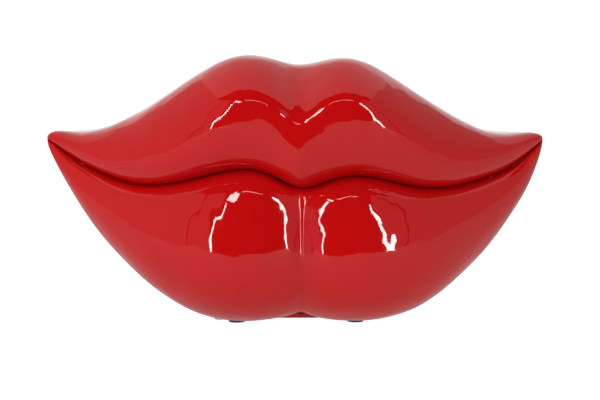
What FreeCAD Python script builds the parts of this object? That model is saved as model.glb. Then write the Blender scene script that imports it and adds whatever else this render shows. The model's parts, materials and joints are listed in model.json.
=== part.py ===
import FreeCAD, Part
import Sketcher
import os
from math import asin, sin, cos, exp, pi, radians, sqrt
from FreeCAD import Placement, Rotation, Vector

# Novelty telephone in the shape of a pair of closed lips, in millimetres.
# +X is the caller's right, -Y the front, +Z up. The origin lies on the table under
# the middle of the lips. The upper lip is the handset and lifts straight off; the
# lower lip is the base. The handset carries its keypad, receiver and microphone on
# a flat tilted face plate underneath, and the base has a deck parallel to it.

os.makedirs("parts", exist_ok=True)
doc = FreeCAD.newDocument("lips_telephone")
sheet = doc.addObject("Spreadsheet::Sheet", "sizes")
SIZES = [
    # the lips
    ("half_width", 110.0),        # corner of the mouth, from the middle
    ("tip_angle", 84.5),          # where the blunt corners end, as an angle of the width
    ("wall", 2.4),
    ("seam_gap", 0.35),           # handset above base
    ("flat_bottom", 0.9),
    # the tilted face of the handset and the deck under it
    ("tilt", 12.0),
    ("face_y", 7.0),
    ("face_z", 73.9),
    ("face_half", 76.0),
    ("face_thick", 2.0),
    ("rim", 2.6),                 # width of the mating rim round both openings
    ("fit", 0.4),                 # clearance between a rim and what sits in it
    ("deck_drop", 6.0),           # deck top under the face, along the tilted normal
    ("deck_thick", 2.4),
    ("deck_skirt", 8.0),
    ("recess", 1.0),              # shallow discs in the deck, opposite receiver and microphone
    ("receiver_recess", 18.0),
    ("mic_recess", 11.0),
    # keys
    ("row_pitch", 13.0),
    ("column_pitch", 15.0),
    ("key_length", 8.0),
    ("key_width", 10.0),
    ("key_corner", 2.0),
    ("key_rise", 2.2),
    ("key_edge", 0.5),
    ("key_gap", 0.3),
    ("flange", 0.8),
    ("flange_thick", 0.8),
    ("flange_gap", 0.15),
    ("mat_level", 4.6),
    ("mat_thick", 0.9),
    ("dome_radius", 2.2),
    # handset electronics
    ("board_thick", 1.6),
    ("upper_board_level", 5.6),
    ("upper_board_length", 72.0),
    ("upper_board_width", 46.0),
    ("upper_post_x", 34.2),
    ("upper_post_v", 18.0),
    ("upper_post_radius", 1.9),
    ("board_shank", 0.8),
    ("board_head", 1.7),
    ("board_head_thick", 1.1),
    ("receiver_x", -51.5),
    ("receiver_radius", 15.0),
    ("receiver_thick", 8.0),
    ("gasket_thick", 1.0),
    ("gasket_width", 2.0),
    ("retainer_thick", 1.5),
    ("grille_radius", 1.0),
    ("grille_ring", 3.6),         # radius of the inner ring of holes; the outer is twice that
    ("mic_x", 56.0),
    ("ear_v", 2.0),               # receiver and microphone, up the slope
    ("mic_slot", 0.7),
    ("mic_pitch", 2.6),
    ("mic_window", 3.6),
    ("mic_radius", 4.8),
    ("mic_thick", 5.0),
    ("boot_radius", 7.5),
    ("boot_thick", 6.5),
    ("weight_level", 10.0),
    ("weight_length", 44.0),
    ("weight_width", 24.0),
    ("weight_thick", 4.0),
    ("weight_screw_x", 15.0),
    ("tone_x", 46.0),
    ("tone_v", -13.0),
    ("switch_length", 12.0),
    ("switch_depth", 5.0),
    ("switch_thick", 5.0),
    ("switch_throw", 2.4),
    ("knob_length", 2.6),
    ("knob_width", 2.2),
    ("knob_slot", 3.0),
    ("knob_slot_width", 2.8),
    ("knob_foot_length", 5.0),
    ("knob_foot_width", 4.0),
    ("knob_foot_thick", 0.8),
    # hook switch
    ("hook_x", 40.0),
    ("hook_y", 23.0),
    ("hook_floor", 49.0),
    ("hook_top", 67.0),
    ("hook_length", 14.0),
    ("hook_width", 11.0),
    ("chamber_floor", 51.0),
    ("chamber_radius", 4.0),
    ("plunger_radius", 2.2),
    ("plunger_top", 76.4),
    ("collar_radius", 3.6),
    ("collar_level", 60.0),
    ("collar_thick", 1.4),
    ("spring_radius", 3.1),
    ("spring_wire", 0.3),
    ("spring_turns", 6.0),
    # base electronics
    ("base_board_level", 30.0),
    ("base_board_length", 68.0),
    ("base_board_width", 44.5),
    ("base_board_y", 7.0),
    ("base_post_x", 30.0),
    ("base_post_reach", 19.5),
    ("ringer_x", -44.0),
    ("ringer_z", 50.0),
    ("ringer_radius", 15.0),
    ("ringer_back", 36.4),
    ("ringer_depth", 7.0),
    ("ringer_wall", 1.2),
    ("ringer_hole", 1.1),
    ("ringer_ring", 4.5),
    ("disc_radius", 13.4),
    ("disc_thick", 0.5),
    ("panel_z", 44.0),
    ("jack_face", 41.2),
    ("jack_depth", 15.0),
    ("jack_height", 12.0),
    ("jack_wall", 1.9),
    ("jack_fit", 0.2),
    ("cord_latch", 3.2),
    ("line_latch", 4.2),
    ("line_jack_x", 22.0),
    ("line_jack_length", 13.0),
    ("cord_jack_x", 2.0),
    ("cord_jack_length", 11.2),
    ("ringer_switch_x", -16.0),
    ("upper_jack_x", -24.0),
    ("upper_jack_z", 93.0),
    ("upper_jack_face", 38.2),
    # bottom
    ("plate_length", 72.0),
    ("plate_width", 31.0),
    ("plate_y", 7.5),
    ("plate_bottom", 2.2),
    ("plate_thick", 1.8),
    ("plate_fit", 0.3),
    ("plate_screw_inset_x", 2.6),
    ("plate_screw_inset_y", 3.0),
    ("ballast_length", 44.0),
    ("ballast_width", 26.0),
    ("ballast_thick", 9.0),
    ("foot_x", 26.0),
    ("foot_reach", 11.5),
    ("foot_radius", 3.6),
    # screws
    ("shank", 1.2),
    ("head", 2.4),
    ("head_thick", 1.2),
    ("boss", 3.6),
    ("screw_fit", 0.1),
]
for row, (alias, number) in enumerate(SIZES, start=1):
    sheet.set(f"A{row}", alias)
    sheet.set(f"B{row}", str(number))
    sheet.setAlias(f"B{row}", alias)
doc.recompute()
size = {alias: float(sheet.get(alias)) for alias, number in SIZES}
HALF = size["half_width"]
TILT = radians(size["tilt"])

# ---------------------------------------------------------------- lip outlines
# Each outline gives a height or a depth at places across the lips. Where an outline
# starts at x = 0 both halves are alike.
CREST_Z = [(-110, 80.0), (-105, 83.0), (-94, 82.6), (-82, 85.4), (-69, 91.6), (-55, 100.5), (-41, 109.8),
           (-31, 115.0), (-20, 117.1), (-9, 115.1), (1, 112.9), (9, 114.1), (20, 115.9), (31, 113.4),
           (42, 107.1), (55, 98.7), (69, 90.2), (82, 84.0), (94, 81.8), (105, 82.0), (110, 79.4)]
MOUTH_Z = [(-110, 80.0), (-105, 76.0), (-95, 69.6), (-82, 64.0), (-68, 60.8), (-52, 62.2), (-38, 65.8),
           (-25, 68.4), (-14, 67.2), (-6, 63.4), (1, 60.6), (7, 61.4), (15, 64.0), (26, 65.6), (38, 63.6),
           (52, 60.2), (66, 59.6), (80, 62.0), (94, 66.6), (105, 74.2), (110, 79.4)]
BELLY_Z = [(-110, 80.0), (-108, 72.6), (-103, 62.6), (-95, 49.3), (-86, 37.0), (-75, 25.3), (-64, 15.7),
           (-54, 9.1), (-44, 4.4), (-34, 1.8), (-24, 0.8), (-14, 1.2), (1, 2.2), (14, 1.2), (24, 0.8),
           (34, 1.2), (44, 3.0), (54, 6.4), (64, 12.4), (75, 21.4), (86, 32.4), (95, 44.2), (103, 57.0),
           (108, 69.4), (110, 79.4)]
UPPER_FRONT_Z = [(0, 82.0), (5, 84.8), (12, 89.4), (22, 91.5), (34, 88.0), (48, 80.0), (62, 73.5),
                 (78, 71.0), (94, 74.4), (105, 78.4), (110, 79.7)]
LOWER_FRONT_Z = [(0, 31.0), (20, 31.5), (36, 32.3), (50, 35.0), (64, 39.5), (78, 46.5), (93, 56.2),
                 (104, 68.0), (110, 79.7)]
UPPER_FRONT_Y = [(0, -43.5), (12, -44.0), (26, -43.6), (42, -38.4), (58, -29.4), (74, -18.0), (88, -6.6),
                 (100, 3.4), (107, 9.2), (110, 13.0)]
LOWER_FRONT_Y = [(0, -42.0), (12, -42.4), (26, -42.0), (42, -37.4), (58, -28.6), (74, -17.2), (88, -5.8),
                 (100, 4.0), (107, 9.6), (110, 13.0)]
GROOVE_Y = [(0, -29.0), (12, -28.6), (26, -27.0), (42, -22.6), (58, -15.6), (74, -6.4), (88, 2.4),
            (100, 9.0), (107, 11.8), (110, 13.0)]
CREST_Y = [(0, -13.0), (20, -13.0), (42, -10.0), (60, -4.0), (78, 4.0), (92, 10.0), (104, 13.0),
           (110, 13.0)]
BACK_Y = [(0, 44.0), (30, 43.6), (56, 41.6), (76, 37.6), (90, 32.0), (101, 24.8), (107, 18.6), (110, 13.0)]
BACK_Z = [(-110, 80.0), (-104, 81.2), (-92, 82.2), (-78, 82.0), (-50, 81.0), (0, 81.0), (50, 81.0),
          (78, 81.6), (92, 81.3), (104, 80.5), (110, 79.4)]


def spline(knots, values):
    """Natural cubic spline through the values, as a function."""
    count = len(knots)
    gaps = [knots[i + 1] - knots[i] for i in range(count - 1)]
    lower = [0.0] * count
    middle = [1.0] * count
    upper = [0.0] * count
    right = [0.0] * count
    for i in range(1, count - 1):
        lower[i] = gaps[i - 1]
        middle[i] = 2 * (gaps[i - 1] + gaps[i])
        upper[i] = gaps[i]
        right[i] = 6 * ((values[i + 1] - values[i]) / gaps[i] - (values[i] - values[i - 1]) / gaps[i - 1])
    for i in range(1, count):
        factor = lower[i] / middle[i - 1]
        middle[i] -= factor * upper[i - 1]
        right[i] -= factor * right[i - 1]
    bend = [0.0] * count
    bend[-1] = right[-1] / middle[-1]
    for i in range(count - 2, -1, -1):
        bend[i] = (right[i] - upper[i] * bend[i + 1]) / middle[i]

    def at(place):
        i = 0
        while i < count - 2 and place > knots[i + 1]:
            i += 1
        a = (knots[i + 1] - place) / gaps[i]
        b = 1 - a
        cubic = (a ** 3 - a) * bend[i] + (b ** 3 - b) * bend[i + 1]
        return a * values[i] + b * values[i + 1] + cubic * gaps[i] ** 2 / 6

    return at


def outline(points):
    """Spline of an outline over the angle asin(x / half width), so that the corners end round."""
    if points[0][0] == 0:
        points = [(-x, value) for x, value in points[:0:-1]] + points
    angles = [asin(max(-1.0, min(1.0, x / HALF))) for x, value in points]
    return spline(angles, [value for x, value in points])


crest_z = outline(CREST_Z)
mouth_z = outline(MOUTH_Z)
belly_z = outline(BELLY_Z)
upper_front_z = outline(UPPER_FRONT_Z)
lower_front_z = outline(LOWER_FRONT_Z)
upper_front_y = outline(UPPER_FRONT_Y)
lower_front_y = outline(LOWER_FRONT_Y)
groove_y = outline(GROOVE_Y)
crest_y = outline(CREST_Y)
back_y = outline(BACK_Y)
back_z = outline(BACK_Z)


def bump(x, centre, width):
    return exp(-((x - centre) / width) ** 2)


def quarter(centre, reach, degrees, power=1.0):
    """Point of an ellipse quarter whose half axes are the two reaches."""
    angle = radians(degrees)
    across = abs(cos(angle)) ** power
    along = abs(sin(angle)) ** power
    if degrees < 0:
        along = -along
    return [centre[0] + reach[0] * across, centre[1] + reach[1] * along]


def upper_section(t):
    """Key points (y, z) of the upper lip at one place across, from the mouth over the top to the back."""
    x = HALF * sin(t)
    gap = size["seam_gap"]
    front = (upper_front_y(t), upper_front_z(t))
    seam = (groove_y(t), mouth_z(t) + gap)
    crest = (crest_y(t), crest_z(t))
    back = (back_y(t), back_z(t) + gap)
    points = []
    for degrees in (-90, -45):
        points.append(quarter((seam[0], front[1]), (front[0] - seam[0], front[1] - seam[1]), degrees))
    for degrees in (0, 30, 60, 90):
        points.append(quarter((crest[0], front[1]), (front[0] - crest[0], crest[1] - front[1]), degrees))
    for degrees in (64, 42, 20, 0):
        points.append(quarter((crest[0], back[1]), (back[0] - crest[0], crest[1] - back[1]), degrees, 0.86))
    # the dip between the two peaks, and the keel that runs down to the mouth
    dip = 3.6 * bump(x, 0.5, 8.5)
    for key, share in ((3, 0.55), (4, 1.0), (5, 0.8), (6, 0.35)):
        points[key][0] += dip * share
    keel = exp(-(sqrt((x - 1.0) ** 2 + 1.6 ** 2) - 1.6) / 9.0)
    for key, share in ((1, 2.6), (2, 2.0), (3, 0.6)):
        points[key][0] -= keel * share
    return points


def lower_section(t):
    """Key points (y, z) of the lower lip, from the mouth down the front and underneath to the back."""
    x = HALF * sin(t)
    front = (lower_front_y(t), lower_front_z(t))
    seam = (groove_y(t), mouth_z(t))
    back = (back_y(t), back_z(t))
    floor = belly_z(t)
    depth = back[0] - front[0]
    heel = front[0] + 0.40 * depth
    rear = front[0] + 0.74 * depth
    wall = front[0] + 0.97 * depth
    knee = floor + 0.30 * (back[1] - floor)
    points = []
    for degrees in (90, 62, 30, 0):
        points.append(quarter((seam[0], front[1]), (front[0] - seam[0], seam[1] - front[1]), degrees))
    for degrees in (-30, -60, -90):
        points.append(quarter((heel, front[1]), (front[0] - heel, front[1] - floor), degrees))
    points.append([rear, floor])
    points.append([rear + (wall - rear) * sin(pi / 4), knee - (knee - floor) * cos(pi / 4)])
    points.append([wall, knee])
    points.append([(wall + back[0]) / 2, (knee + back[1]) / 2])
    points.append([back[0], back[1]])
    # the valley between the two lobes, sharp at its floor and fanning out upwards
    away = sqrt((x - 2.0) ** 2 + 0.36) - 0.6
    for key, deep, length in ((1, 3.0, 11.0), (2, 6.6, 11.0), (3, 7.2, 10.0), (4, 6.6, 7.5), (5, 4.6, 6.5),
                              (6, 1.6, 6.0)):
        points[key][0] += deep * exp(-away / length)
    for key, rise in ((4, 0.6), (5, 1.8), (6, 1.8)):
        points[key][1] += rise * exp(-away / 7.0)
    return points


UPPER_STEPS = [13, 13, 16, 16, 15, 16, 17, 17, 17]
LOWER_STEPS = [14, 17, 18, 18, 18, 18, 28, 18, 18, 22, 24]


def inset(points, wall):
    """The key points moved by the wall, square to the section and to the right of its run."""
    moved = []
    for i, (y, z) in enumerate(points):
        before = points[max(i - 1, 0)]
        after = points[min(i + 1, len(points) - 1)]
        run = (after[0] - before[0], after[1] - before[1])
        length = sqrt(run[0] ** 2 + run[1] ** 2)
        moved.append([y + wall * run[1] / length, z - wall * run[0] / length])
    return moved


def upper_cavity_section(t):
    wall = size["wall"]
    points = upper_section(t)
    inner = inset(points, wall)
    inner[0] = [points[0][0], points[0][1] + wall]
    inner[-1] = [points[-1][0] - 1.3 * wall, points[-1][1] - 1.6 * wall]
    return inner


def lower_cavity_section(t):
    wall = size["wall"]
    points = lower_section(t)
    inner = inset(points, -wall)
    inner[0] = [points[0][0], points[0][1] - wall]
    inner[-1] = [points[-1][0] - wall, points[-1][1] - wall]
    return inner


def lip_solid(section, steps, reach):
    """Closed solid between the skin of a lip, the parting surface and two flat ends at +-reach."""
    knots = [0.0]
    for step in steps:
        knots.append(knots[-1] + step)
    places = 44
    columns = 30
    last = asin(reach / HALF)
    rows = []
    for i in range(places + 1):
        t = -last + 2 * last * i / places
        points = section(t)
        depth = spline(knots, [y for y, z in points])
        height = spline(knots, [z for y, z in points])
        stations = [knots[-1] * j / columns for j in range(columns + 1)]
        rows.append([Vector(HALF * sin(t), depth(k), height(k)) for k in stations])
    surface = Part.BSplineSurface()
    surface.interpolate(rows)
    skin = surface.toShape()
    edges = {}
    for edge in skin.Edges:
        if abs(edge.BoundBox.XLength) < 1.0:
            edges["left" if edge.BoundBox.XMin < 0 else "right"] = edge
        elif edge.BoundBox.YMax > 20.0:
            edges["back"] = edge
        else:
            edges["mouth"] = edge
    parting = Part.makeRuledSurface(edges["mouth"], edges["back"])
    faces = [skin, parting]
    for end in ("left", "right"):
        for edge in parting.Edges:
            if edge.BoundBox.XLength < 1.0 and (edge.BoundBox.XMin < 0) == (end == "left"):
                closing = edge
        faces.append(Part.Face(Part.Wire([edges[end], closing])))
    shell = Part.makeShell(faces)
    shell.sewShape()
    solid = Part.Solid(shell)
    if solid.Volume < 0:
        solid.reverse()
    return solid


def rim_prism(margin, reach, bottom, top):
    """Upright prism inside the mouth outline, the margin inside it, out to +-reach."""
    front = []
    back = []
    for i in range(25):
        x = -reach + 2 * reach * i / 24
        t = asin(x / HALF)
        front.append(Vector(x, groove_y(t) + margin, bottom))
        back.append(Vector(x, back_y(t) - margin, bottom))
    front_curve = Part.BSplineCurve()
    front_curve.interpolate(front)
    back_curve = Part.BSplineCurve()
    back_curve.interpolate(back)
    sides = [Part.makeLine(front[0], back[0]), Part.makeLine(front[-1], back[-1])]
    wire = Part.Wire([front_curve.toShape(), sides[1], back_curve.toShape(), sides[0]])
    return Part.Face(wire).extrude(Vector(0, 0, top - bottom))


ACROSS = Vector(1, 0, 0)
SLOPE = Vector(0, cos(TILT), sin(TILT))
NORMAL = Vector(0, -sin(TILT), cos(TILT))
FACE = Vector(0, size["face_y"], size["face_z"])


def on_face(x, v, w):
    """Point in the face plate's own frame: across, up its slope, and along its normal."""
    return FACE + ACROSS * x + SLOPE * v + NORMAL * w


def slab(low, high):
    """Large tilted block between two levels of the face plate's frame."""
    block = Part.makeBox(400, 300, high - low)
    block.Placement = Placement(on_face(-200, -150, low), Rotation(Vector(1, 0, 0), size["tilt"]))
    return block


def along(x, v, low, high, radius):
    """Cylinder along the face plate's normal."""
    return Part.makeCylinder(radius, high - low, on_face(x, v, low), NORMAL)


nodes = []


def node(item, label):
    item.Label = label
    nodes.append(item)
    return item


def free_form(label, shape):
    item = doc.addObject("Part::Feature", label)
    item.Shape = shape
    return node(item, label)


def upright(item, x, y, z, angle="0"):
    """Binds a Placement; the angle turns about +X, so -90 points local +Z to the back."""
    item.Placement = Placement(Vector(), Rotation(Vector(1, 0, 0), 5))
    item.setExpression("Placement.Base.x", x)
    item.setExpression("Placement.Base.y", y)
    item.setExpression("Placement.Base.z", z)
    item.setExpression("Placement.Rotation.Angle", angle)


def tilted(item, x, v, w):
    """Binds a Placement in the face plate's frame."""
    y = f"sizes.face_y + ({v}) * cos(sizes.tilt) - ({w}) * sin(sizes.tilt)"
    z = f"sizes.face_z + ({v}) * sin(sizes.tilt) + ({w}) * cos(sizes.tilt)"
    upright(item, x, y, z, "sizes.tilt")


def body(name):
    return doc.addObject("PartDesign::Body", name)


def sketch_at(owner, level):
    sketch = owner.newObject("Sketcher::SketchObject", owner.Name + "_sketch")
    for plane in owner.Origin.OriginFeatures:
        if plane.Role == "XY_Plane":
            sketch.AttachmentSupport = [(plane, "")]
    sketch.MapMode = "FlatFace"
    sketch.setExpression("AttachmentOffset.Base.z", level)
    return sketch


def draw_rectangle(sketch, length, width):
    corners = [Vector(-2, -1, 0), Vector(2, -1, 0), Vector(2, 1, 0), Vector(-2, 1, 0)]
    for i in range(4):
        sketch.addGeometry(Part.LineSegment(corners[i], corners[(i + 1) % 4]), False)
    for i in range(4):
        sketch.addConstraint(Sketcher.Constraint("Coincident", i, 2, (i + 1) % 4, 1))
        sketch.addConstraint(Sketcher.Constraint("Vertical" if i % 2 else "Horizontal", i))
    sketch.addConstraint(Sketcher.Constraint("Symmetric", 0, 1, 2, 1, -1, 1))
    across = sketch.addConstraint(Sketcher.Constraint("DistanceX", 0, 1, 0, 2, 4.0))
    upward = sketch.addConstraint(Sketcher.Constraint("DistanceY", 1, 1, 1, 2, 2.0))
    sketch.setExpression(f"Constraints[{across}]", length)
    sketch.setExpression(f"Constraints[{upward}]", width)


def draw_circle(sketch, radius):
    sketch.addGeometry(Part.Circle(Vector(), Vector(0, 0, 1), 1.0), False)
    sketch.addConstraint(Sketcher.Constraint("Coincident", 0, 3, -1, 1))
    fixed = sketch.addConstraint(Sketcher.Constraint("Radius", 0, 1.0))
    sketch.setExpression(f"Constraints[{fixed}]", radius)


def add_pad(owner, sketch, height):
    pad = owner.newObject("PartDesign::Pad", owner.Name + "_pad")
    pad.Profile = sketch
    pad.setExpression("Length", height)
    sketch.Visibility = False
    doc.recompute()
    return pad


def add_pocket(owner, sketch, depth):
    """Cuts downwards from the sketch, and makes sure that something was cut."""
    before = owner.Shape.Volume
    pocket = owner.newObject("PartDesign::Pocket", owner.Name + "_pocket")
    pocket.Profile = sketch
    pocket.setExpression("Length", depth)
    sketch.Visibility = False
    doc.recompute()
    if owner.Shape.Volume > before - 1e-6:
        raise RuntimeError(owner.Name + ": the pocket cuts nothing")
    return pocket


def block(owner, length, width, level, height):
    sketch = sketch_at(owner, level)
    draw_rectangle(sketch, length, width)
    return add_pad(owner, sketch, height)


def disc(owner, radius, level, height):
    sketch = sketch_at(owner, level)
    draw_circle(sketch, radius)
    return add_pad(owner, sketch, height)


def square_hole(owner, length, width, level, depth):
    sketch = sketch_at(owner, level)
    draw_rectangle(sketch, length, width)
    return add_pocket(owner, sketch, depth)


def round_hole(owner, radius, level, depth):
    sketch = sketch_at(owner, level)
    draw_circle(sketch, radius)
    return add_pocket(owner, sketch, depth)


def round_off(owner, base, chosen, radius):
    fillet = owner.newObject("PartDesign::Fillet", owner.Name + "_fillet")
    names = [f"Edge{i}" for i, edge in enumerate(base.Shape.Edges, start=1) if chosen(edge)]
    fillet.Base = (base, names)
    fillet.setExpression("Radius", radius)
    doc.recompute()
    return fillet


def is_upright(edge):
    return edge.BoundBox.XLength + edge.BoundBox.YLength < 1e-4


def lies_at(level):
    return lambda edge: edge.BoundBox.ZLength < 1e-4 and abs(edge.BoundBox.ZMin - level) < 1e-4


def drilled(name, blank, tools):
    """A blank with several tools cut out of it."""
    joined = doc.addObject("Part::MultiFuse", name + "_holes")
    joined.Shapes = tools
    cut = doc.addObject("Part::Cut", name)
    cut.Base = blank
    cut.Tool = joined
    return cut


def plain_cylinder(name, radius, height):
    item = doc.addObject("Part::Cylinder", name)
    item.setExpression("Radius", radius)
    item.setExpression("Height", height)
    return item


def screw(name, length):
    """A pan-head screw, head down, its head's underside at local zero."""
    item = body(name)
    head = disc(item, "sizes.head", "-sizes.head_thick", "sizes.head_thick")
    round_off(item, head, lies_at(-size["head_thick"]), "0.4 * sizes.head_thick")
    disc(item, "sizes.shank", "0", length)
    return item


def screw_group(label, screws):
    group = doc.addObject("Part::Compound", label)
    group.Links = screws
    return node(group, label)


# ---------------------------------------------------------------- places of the fasteners
# Handset screws in the face plate's frame; deck screws, board posts, bottom screws and
# feet in plan. Each entry holds the expressions of its two places.
HANDSET_SCREWS = [("71.5", "7"), ("-71.5", "7"), ("34", "28.6"), ("-34", "28.6"), ("40", "-22.5"),
                  ("-40", "-22.5")]
DECK_SCREWS = [("66", "26"), ("-66", "26"), ("56", "-6"), ("-56", "-6"), ("0", "-19")]
SIGNS = [(1, 1), (-1, 1), (-1, -1), (1, -1)]


def numbers(pairs):
    return [(float(first), float(second)) for first, second in pairs]


shank_bore = size["shank"] + size["screw_fit"]
head_bore = size["head"] + size["screw_fit"]
face_thick = size["face_thick"]
deck_top = -size["deck_drop"]
deck_under = deck_top - size["deck_thick"]
TIP = HALF * sin(radians(size["tip_angle"]))

# ---------------------------------------------------------------- handset
upper_lip = lip_solid(upper_section, UPPER_STEPS, TIP)
upper_cavity = lip_solid(upper_cavity_section, UPPER_STEPS, 80.0).common(slab(0, 80))
well = rim_prism(size["rim"], size["face_half"] + size["fit"], 50, 100).common(slab(-60, face_thick + 0.2))
key_room = rim_prism(2 * size["rim"], 40.0, 50, 110).common(slab(0, 8))
handset = upper_lip.cut(upper_cavity).cut(well).cut(key_room)
posts = [along(x, v, face_thick, 60, size["boss"]) for x, v in numbers(HANDSET_SCREWS)]
for side in (-1, 1):
    top = size["weight_level"] + size["weight_thick"]
    posts.append(along(side * size["weight_screw_x"], 0, top, 60, size["boss"]))
handset = handset.fuse([post.common(upper_lip) for post in posts])
bores = [along(x, v, 0, 10.5, shank_bore) for x, v in numbers(HANDSET_SCREWS)]
for side in (-1, 1):
    bores.append(along(side * size["weight_screw_x"], 0, 0, top + 5, shank_bore))
jack_fit = size["jack_fit"]
jack_window = Part.makeBox(size["cord_jack_length"] + 2 * jack_fit, 20, size["jack_height"] + 2 * jack_fit)
jack_window.translate(Vector(size["upper_jack_x"] - size["cord_jack_length"] / 2 - jack_fit,
                             size["upper_jack_face"] - size["jack_depth"],
                             size["upper_jack_z"] - size["jack_height"] / 2 - jack_fit))
handset_shell = free_form("handset_shell", handset.cut(bores + [jack_window]))

KEY_NAMES = [["key_1", "key_2", "key_3"],
             ["key_4", "key_5", "key_6"],
             ["key_7", "key_8", "key_9"],
             ["key_star", "key_0", "key_hash"],
             ["key_redial", "key_flash", "key_mute"]]


def face_window(x, v, length, width, corner):
    window = Part.makeBox(length, width, 10)
    turned = Rotation(Vector(1, 0, 0), size["tilt"])
    window.Placement = Placement(on_face(x - length / 2, v - width / 2, -4), turned)
    uprights = [edge for edge in window.Edges if abs(edge.tangentAt(edge.FirstParameter).dot(NORMAL)) > 0.99]
    return window.makeFillet(corner, uprights)


plate = rim_prism(size["rim"] + size["fit"], size["face_half"], 50, 100).common(slab(0, face_thick))
cuts = []
for row in range(5):
    for column in range(3):
        gap = 2 * size["key_gap"]
        cuts.append(face_window((row - 2) * size["row_pitch"], (1 - column) * size["column_pitch"],
                                size["key_length"] + gap, size["key_width"] + gap, size["key_corner"]))
for ring, count in ((0, 1), (1, 6), (2, 12)):
    for i in range(count):
        turn = 2 * pi * (i + 0.25) / count
        x = size["receiver_x"] + ring * size["grille_ring"] * cos(turn)
        v = size["ear_v"] + ring * size["grille_ring"] * sin(turn)
        cuts.append(along(x, v, -1, 3, size["grille_radius"]))
for step in (-1, 0, 1):
    cuts.append(along(size["mic_x"] + size["mic_pitch"] * step, size["ear_v"], -1, 3, size["mic_slot"]))
cuts.append(face_window(size["tone_x"], size["tone_v"], size["knob_slot"] + 2 * size["switch_throw"],
                        size["knob_slot_width"], 0.8))
for x, v in numbers(HANDSET_SCREWS):
    cuts.append(along(x, v, -1, size["head_thick"], head_bore))
    cuts.append(along(x, v, -1, 3, shank_bore))
standoffs = [along(x * size["upper_post_x"], v * size["upper_post_v"], face_thick - 0.2,
                   size["upper_board_level"], size["upper_post_radius"]) for x, v in SIGNS]
pilot_bore = size["board_shank"] + size["screw_fit"] / 2
pilot = [along(x * size["upper_post_x"], v * size["upper_post_v"], 1.2, 7, pilot_bore) for x, v in SIGNS]
free_form("handset_face_plate", plate.fuse(standoffs).cut(cuts + pilot))


def key(label, row, column):
    item = body(label)
    cap = block(item, "sizes.key_length", "sizes.key_width", "-sizes.key_rise",
                "sizes.key_rise + sizes.face_thick + 0.5")
    cap = round_off(item, cap, is_upright, "sizes.key_corner - sizes.key_gap")
    round_off(item, cap, lies_at(-size["key_rise"]), "sizes.key_edge")
    block(item, "sizes.key_length + 2 * sizes.flange", "sizes.key_width + 2 * sizes.flange",
          "sizes.face_thick + sizes.flange_gap", "sizes.flange_thick")
    tilted(item, f"sizes.row_pitch * {row - 2}", f"sizes.column_pitch * {1 - column}", "0")
    node(item, label)


for row, names in enumerate(KEY_NAMES):
    for column, name in enumerate(names):
        key(name, row, column)

mat = body("key_mat")
block(mat, "5 * sizes.row_pitch - 1.4", "3 * sizes.column_pitch - 2", "sizes.mat_level", "sizes.mat_thick")
for row in range(5):
    for column in range(3):
        dome = sketch_at(mat, "sizes.mat_level + sizes.mat_thick")
        centre = Vector((row - 2) * size["row_pitch"], (1 - column) * size["column_pitch"], 0)
        dome.addGeometry(Part.Circle(centre, Vector(0, 0, 1), size["dome_radius"]), False)
        add_pocket(mat, dome, "0.6 * sizes.mat_thick")
tilted(mat, "0", "0", "0")
node(mat, "key_mat")

blank = doc.addObject("Part::Box", "upper_board_blank")
blank.setExpression("Length", "sizes.upper_board_length")
blank.setExpression("Width", "sizes.upper_board_width")
blank.setExpression("Height", "sizes.board_thick")
tilted(blank, "-sizes.upper_board_length / 2", "-sizes.upper_board_width / 2", "sizes.upper_board_level")
drills = []
for x, v in SIGNS:
    drill = plain_cylinder("upper_board_drill", "1.0", "6")
    tilted(drill, f"{x} * sizes.upper_post_x", f"{v} * sizes.upper_post_v", "sizes.upper_board_level - 2")
    drills.append(drill)
node(drilled("upper_board", blank, drills), "handset_circuit_board")

screws = []
for x, v in SIGNS:
    item = body("upper_board_screw")
    disc(item, "sizes.board_head", "sizes.upper_board_level + sizes.board_thick", "sizes.board_head_thick")
    disc(item, "sizes.board_shank", "sizes.upper_board_level - 3.4", "sizes.board_thick + 3.6")
    tilted(item, f"{x} * sizes.upper_post_x", f"{v} * sizes.upper_post_v", "0")
    screws.append(item)
screw_group("handset_board_screws", screws)

screws = []
for x, v in HANDSET_SCREWS:
    item = screw("handset_screw", "8.2")
    tilted(item, x, v, "sizes.head_thick")
    screws.append(item)
screw_group("handset_screws", screws)

capsule = body("receiver_capsule")
disc(capsule, "sizes.receiver_radius", "sizes.face_thick + sizes.gasket_thick", "0.7 * sizes.receiver_thick")
disc(capsule, "0.62 * sizes.receiver_radius",
     "sizes.face_thick + sizes.gasket_thick + 0.6 * sizes.receiver_thick", "0.4 * sizes.receiver_thick")
tilted(capsule, "sizes.receiver_x", "sizes.ear_v", "0")
node(capsule, "receiver_capsule")

gasket = body("receiver_gasket")
disc(gasket, "sizes.receiver_radius", "sizes.face_thick", "sizes.gasket_thick")
round_hole(gasket, "sizes.receiver_radius - sizes.gasket_width", "sizes.face_thick + sizes.gasket_thick",
           "sizes.gasket_thick")
tilted(gasket, "sizes.receiver_x", "sizes.ear_v", "0")
node(gasket, "receiver_gasket")

retainer = body("receiver_retainer")
shoulder = "sizes.face_thick + sizes.gasket_thick + 0.7 * sizes.receiver_thick"
disc(retainer, "sizes.receiver_radius", shoulder, "sizes.retainer_thick")
round_hole(retainer, "0.62 * sizes.receiver_radius + 0.2", shoulder + " + sizes.retainer_thick",
           "sizes.retainer_thick")
tilted(retainer, "sizes.receiver_x", "sizes.ear_v", "0")
node(retainer, "receiver_retainer")

boot = body("microphone_boot")
disc(boot, "sizes.boot_radius", "sizes.face_thick", "sizes.boot_thick")
round_hole(boot, "sizes.mic_radius", "sizes.face_thick + sizes.boot_thick", "sizes.mic_thick")
round_hole(boot, "sizes.mic_window", "sizes.face_thick + sizes.boot_thick", "sizes.boot_thick")
tilted(boot, "sizes.mic_x", "sizes.ear_v", "0")
node(boot, "microphone_boot")

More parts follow.
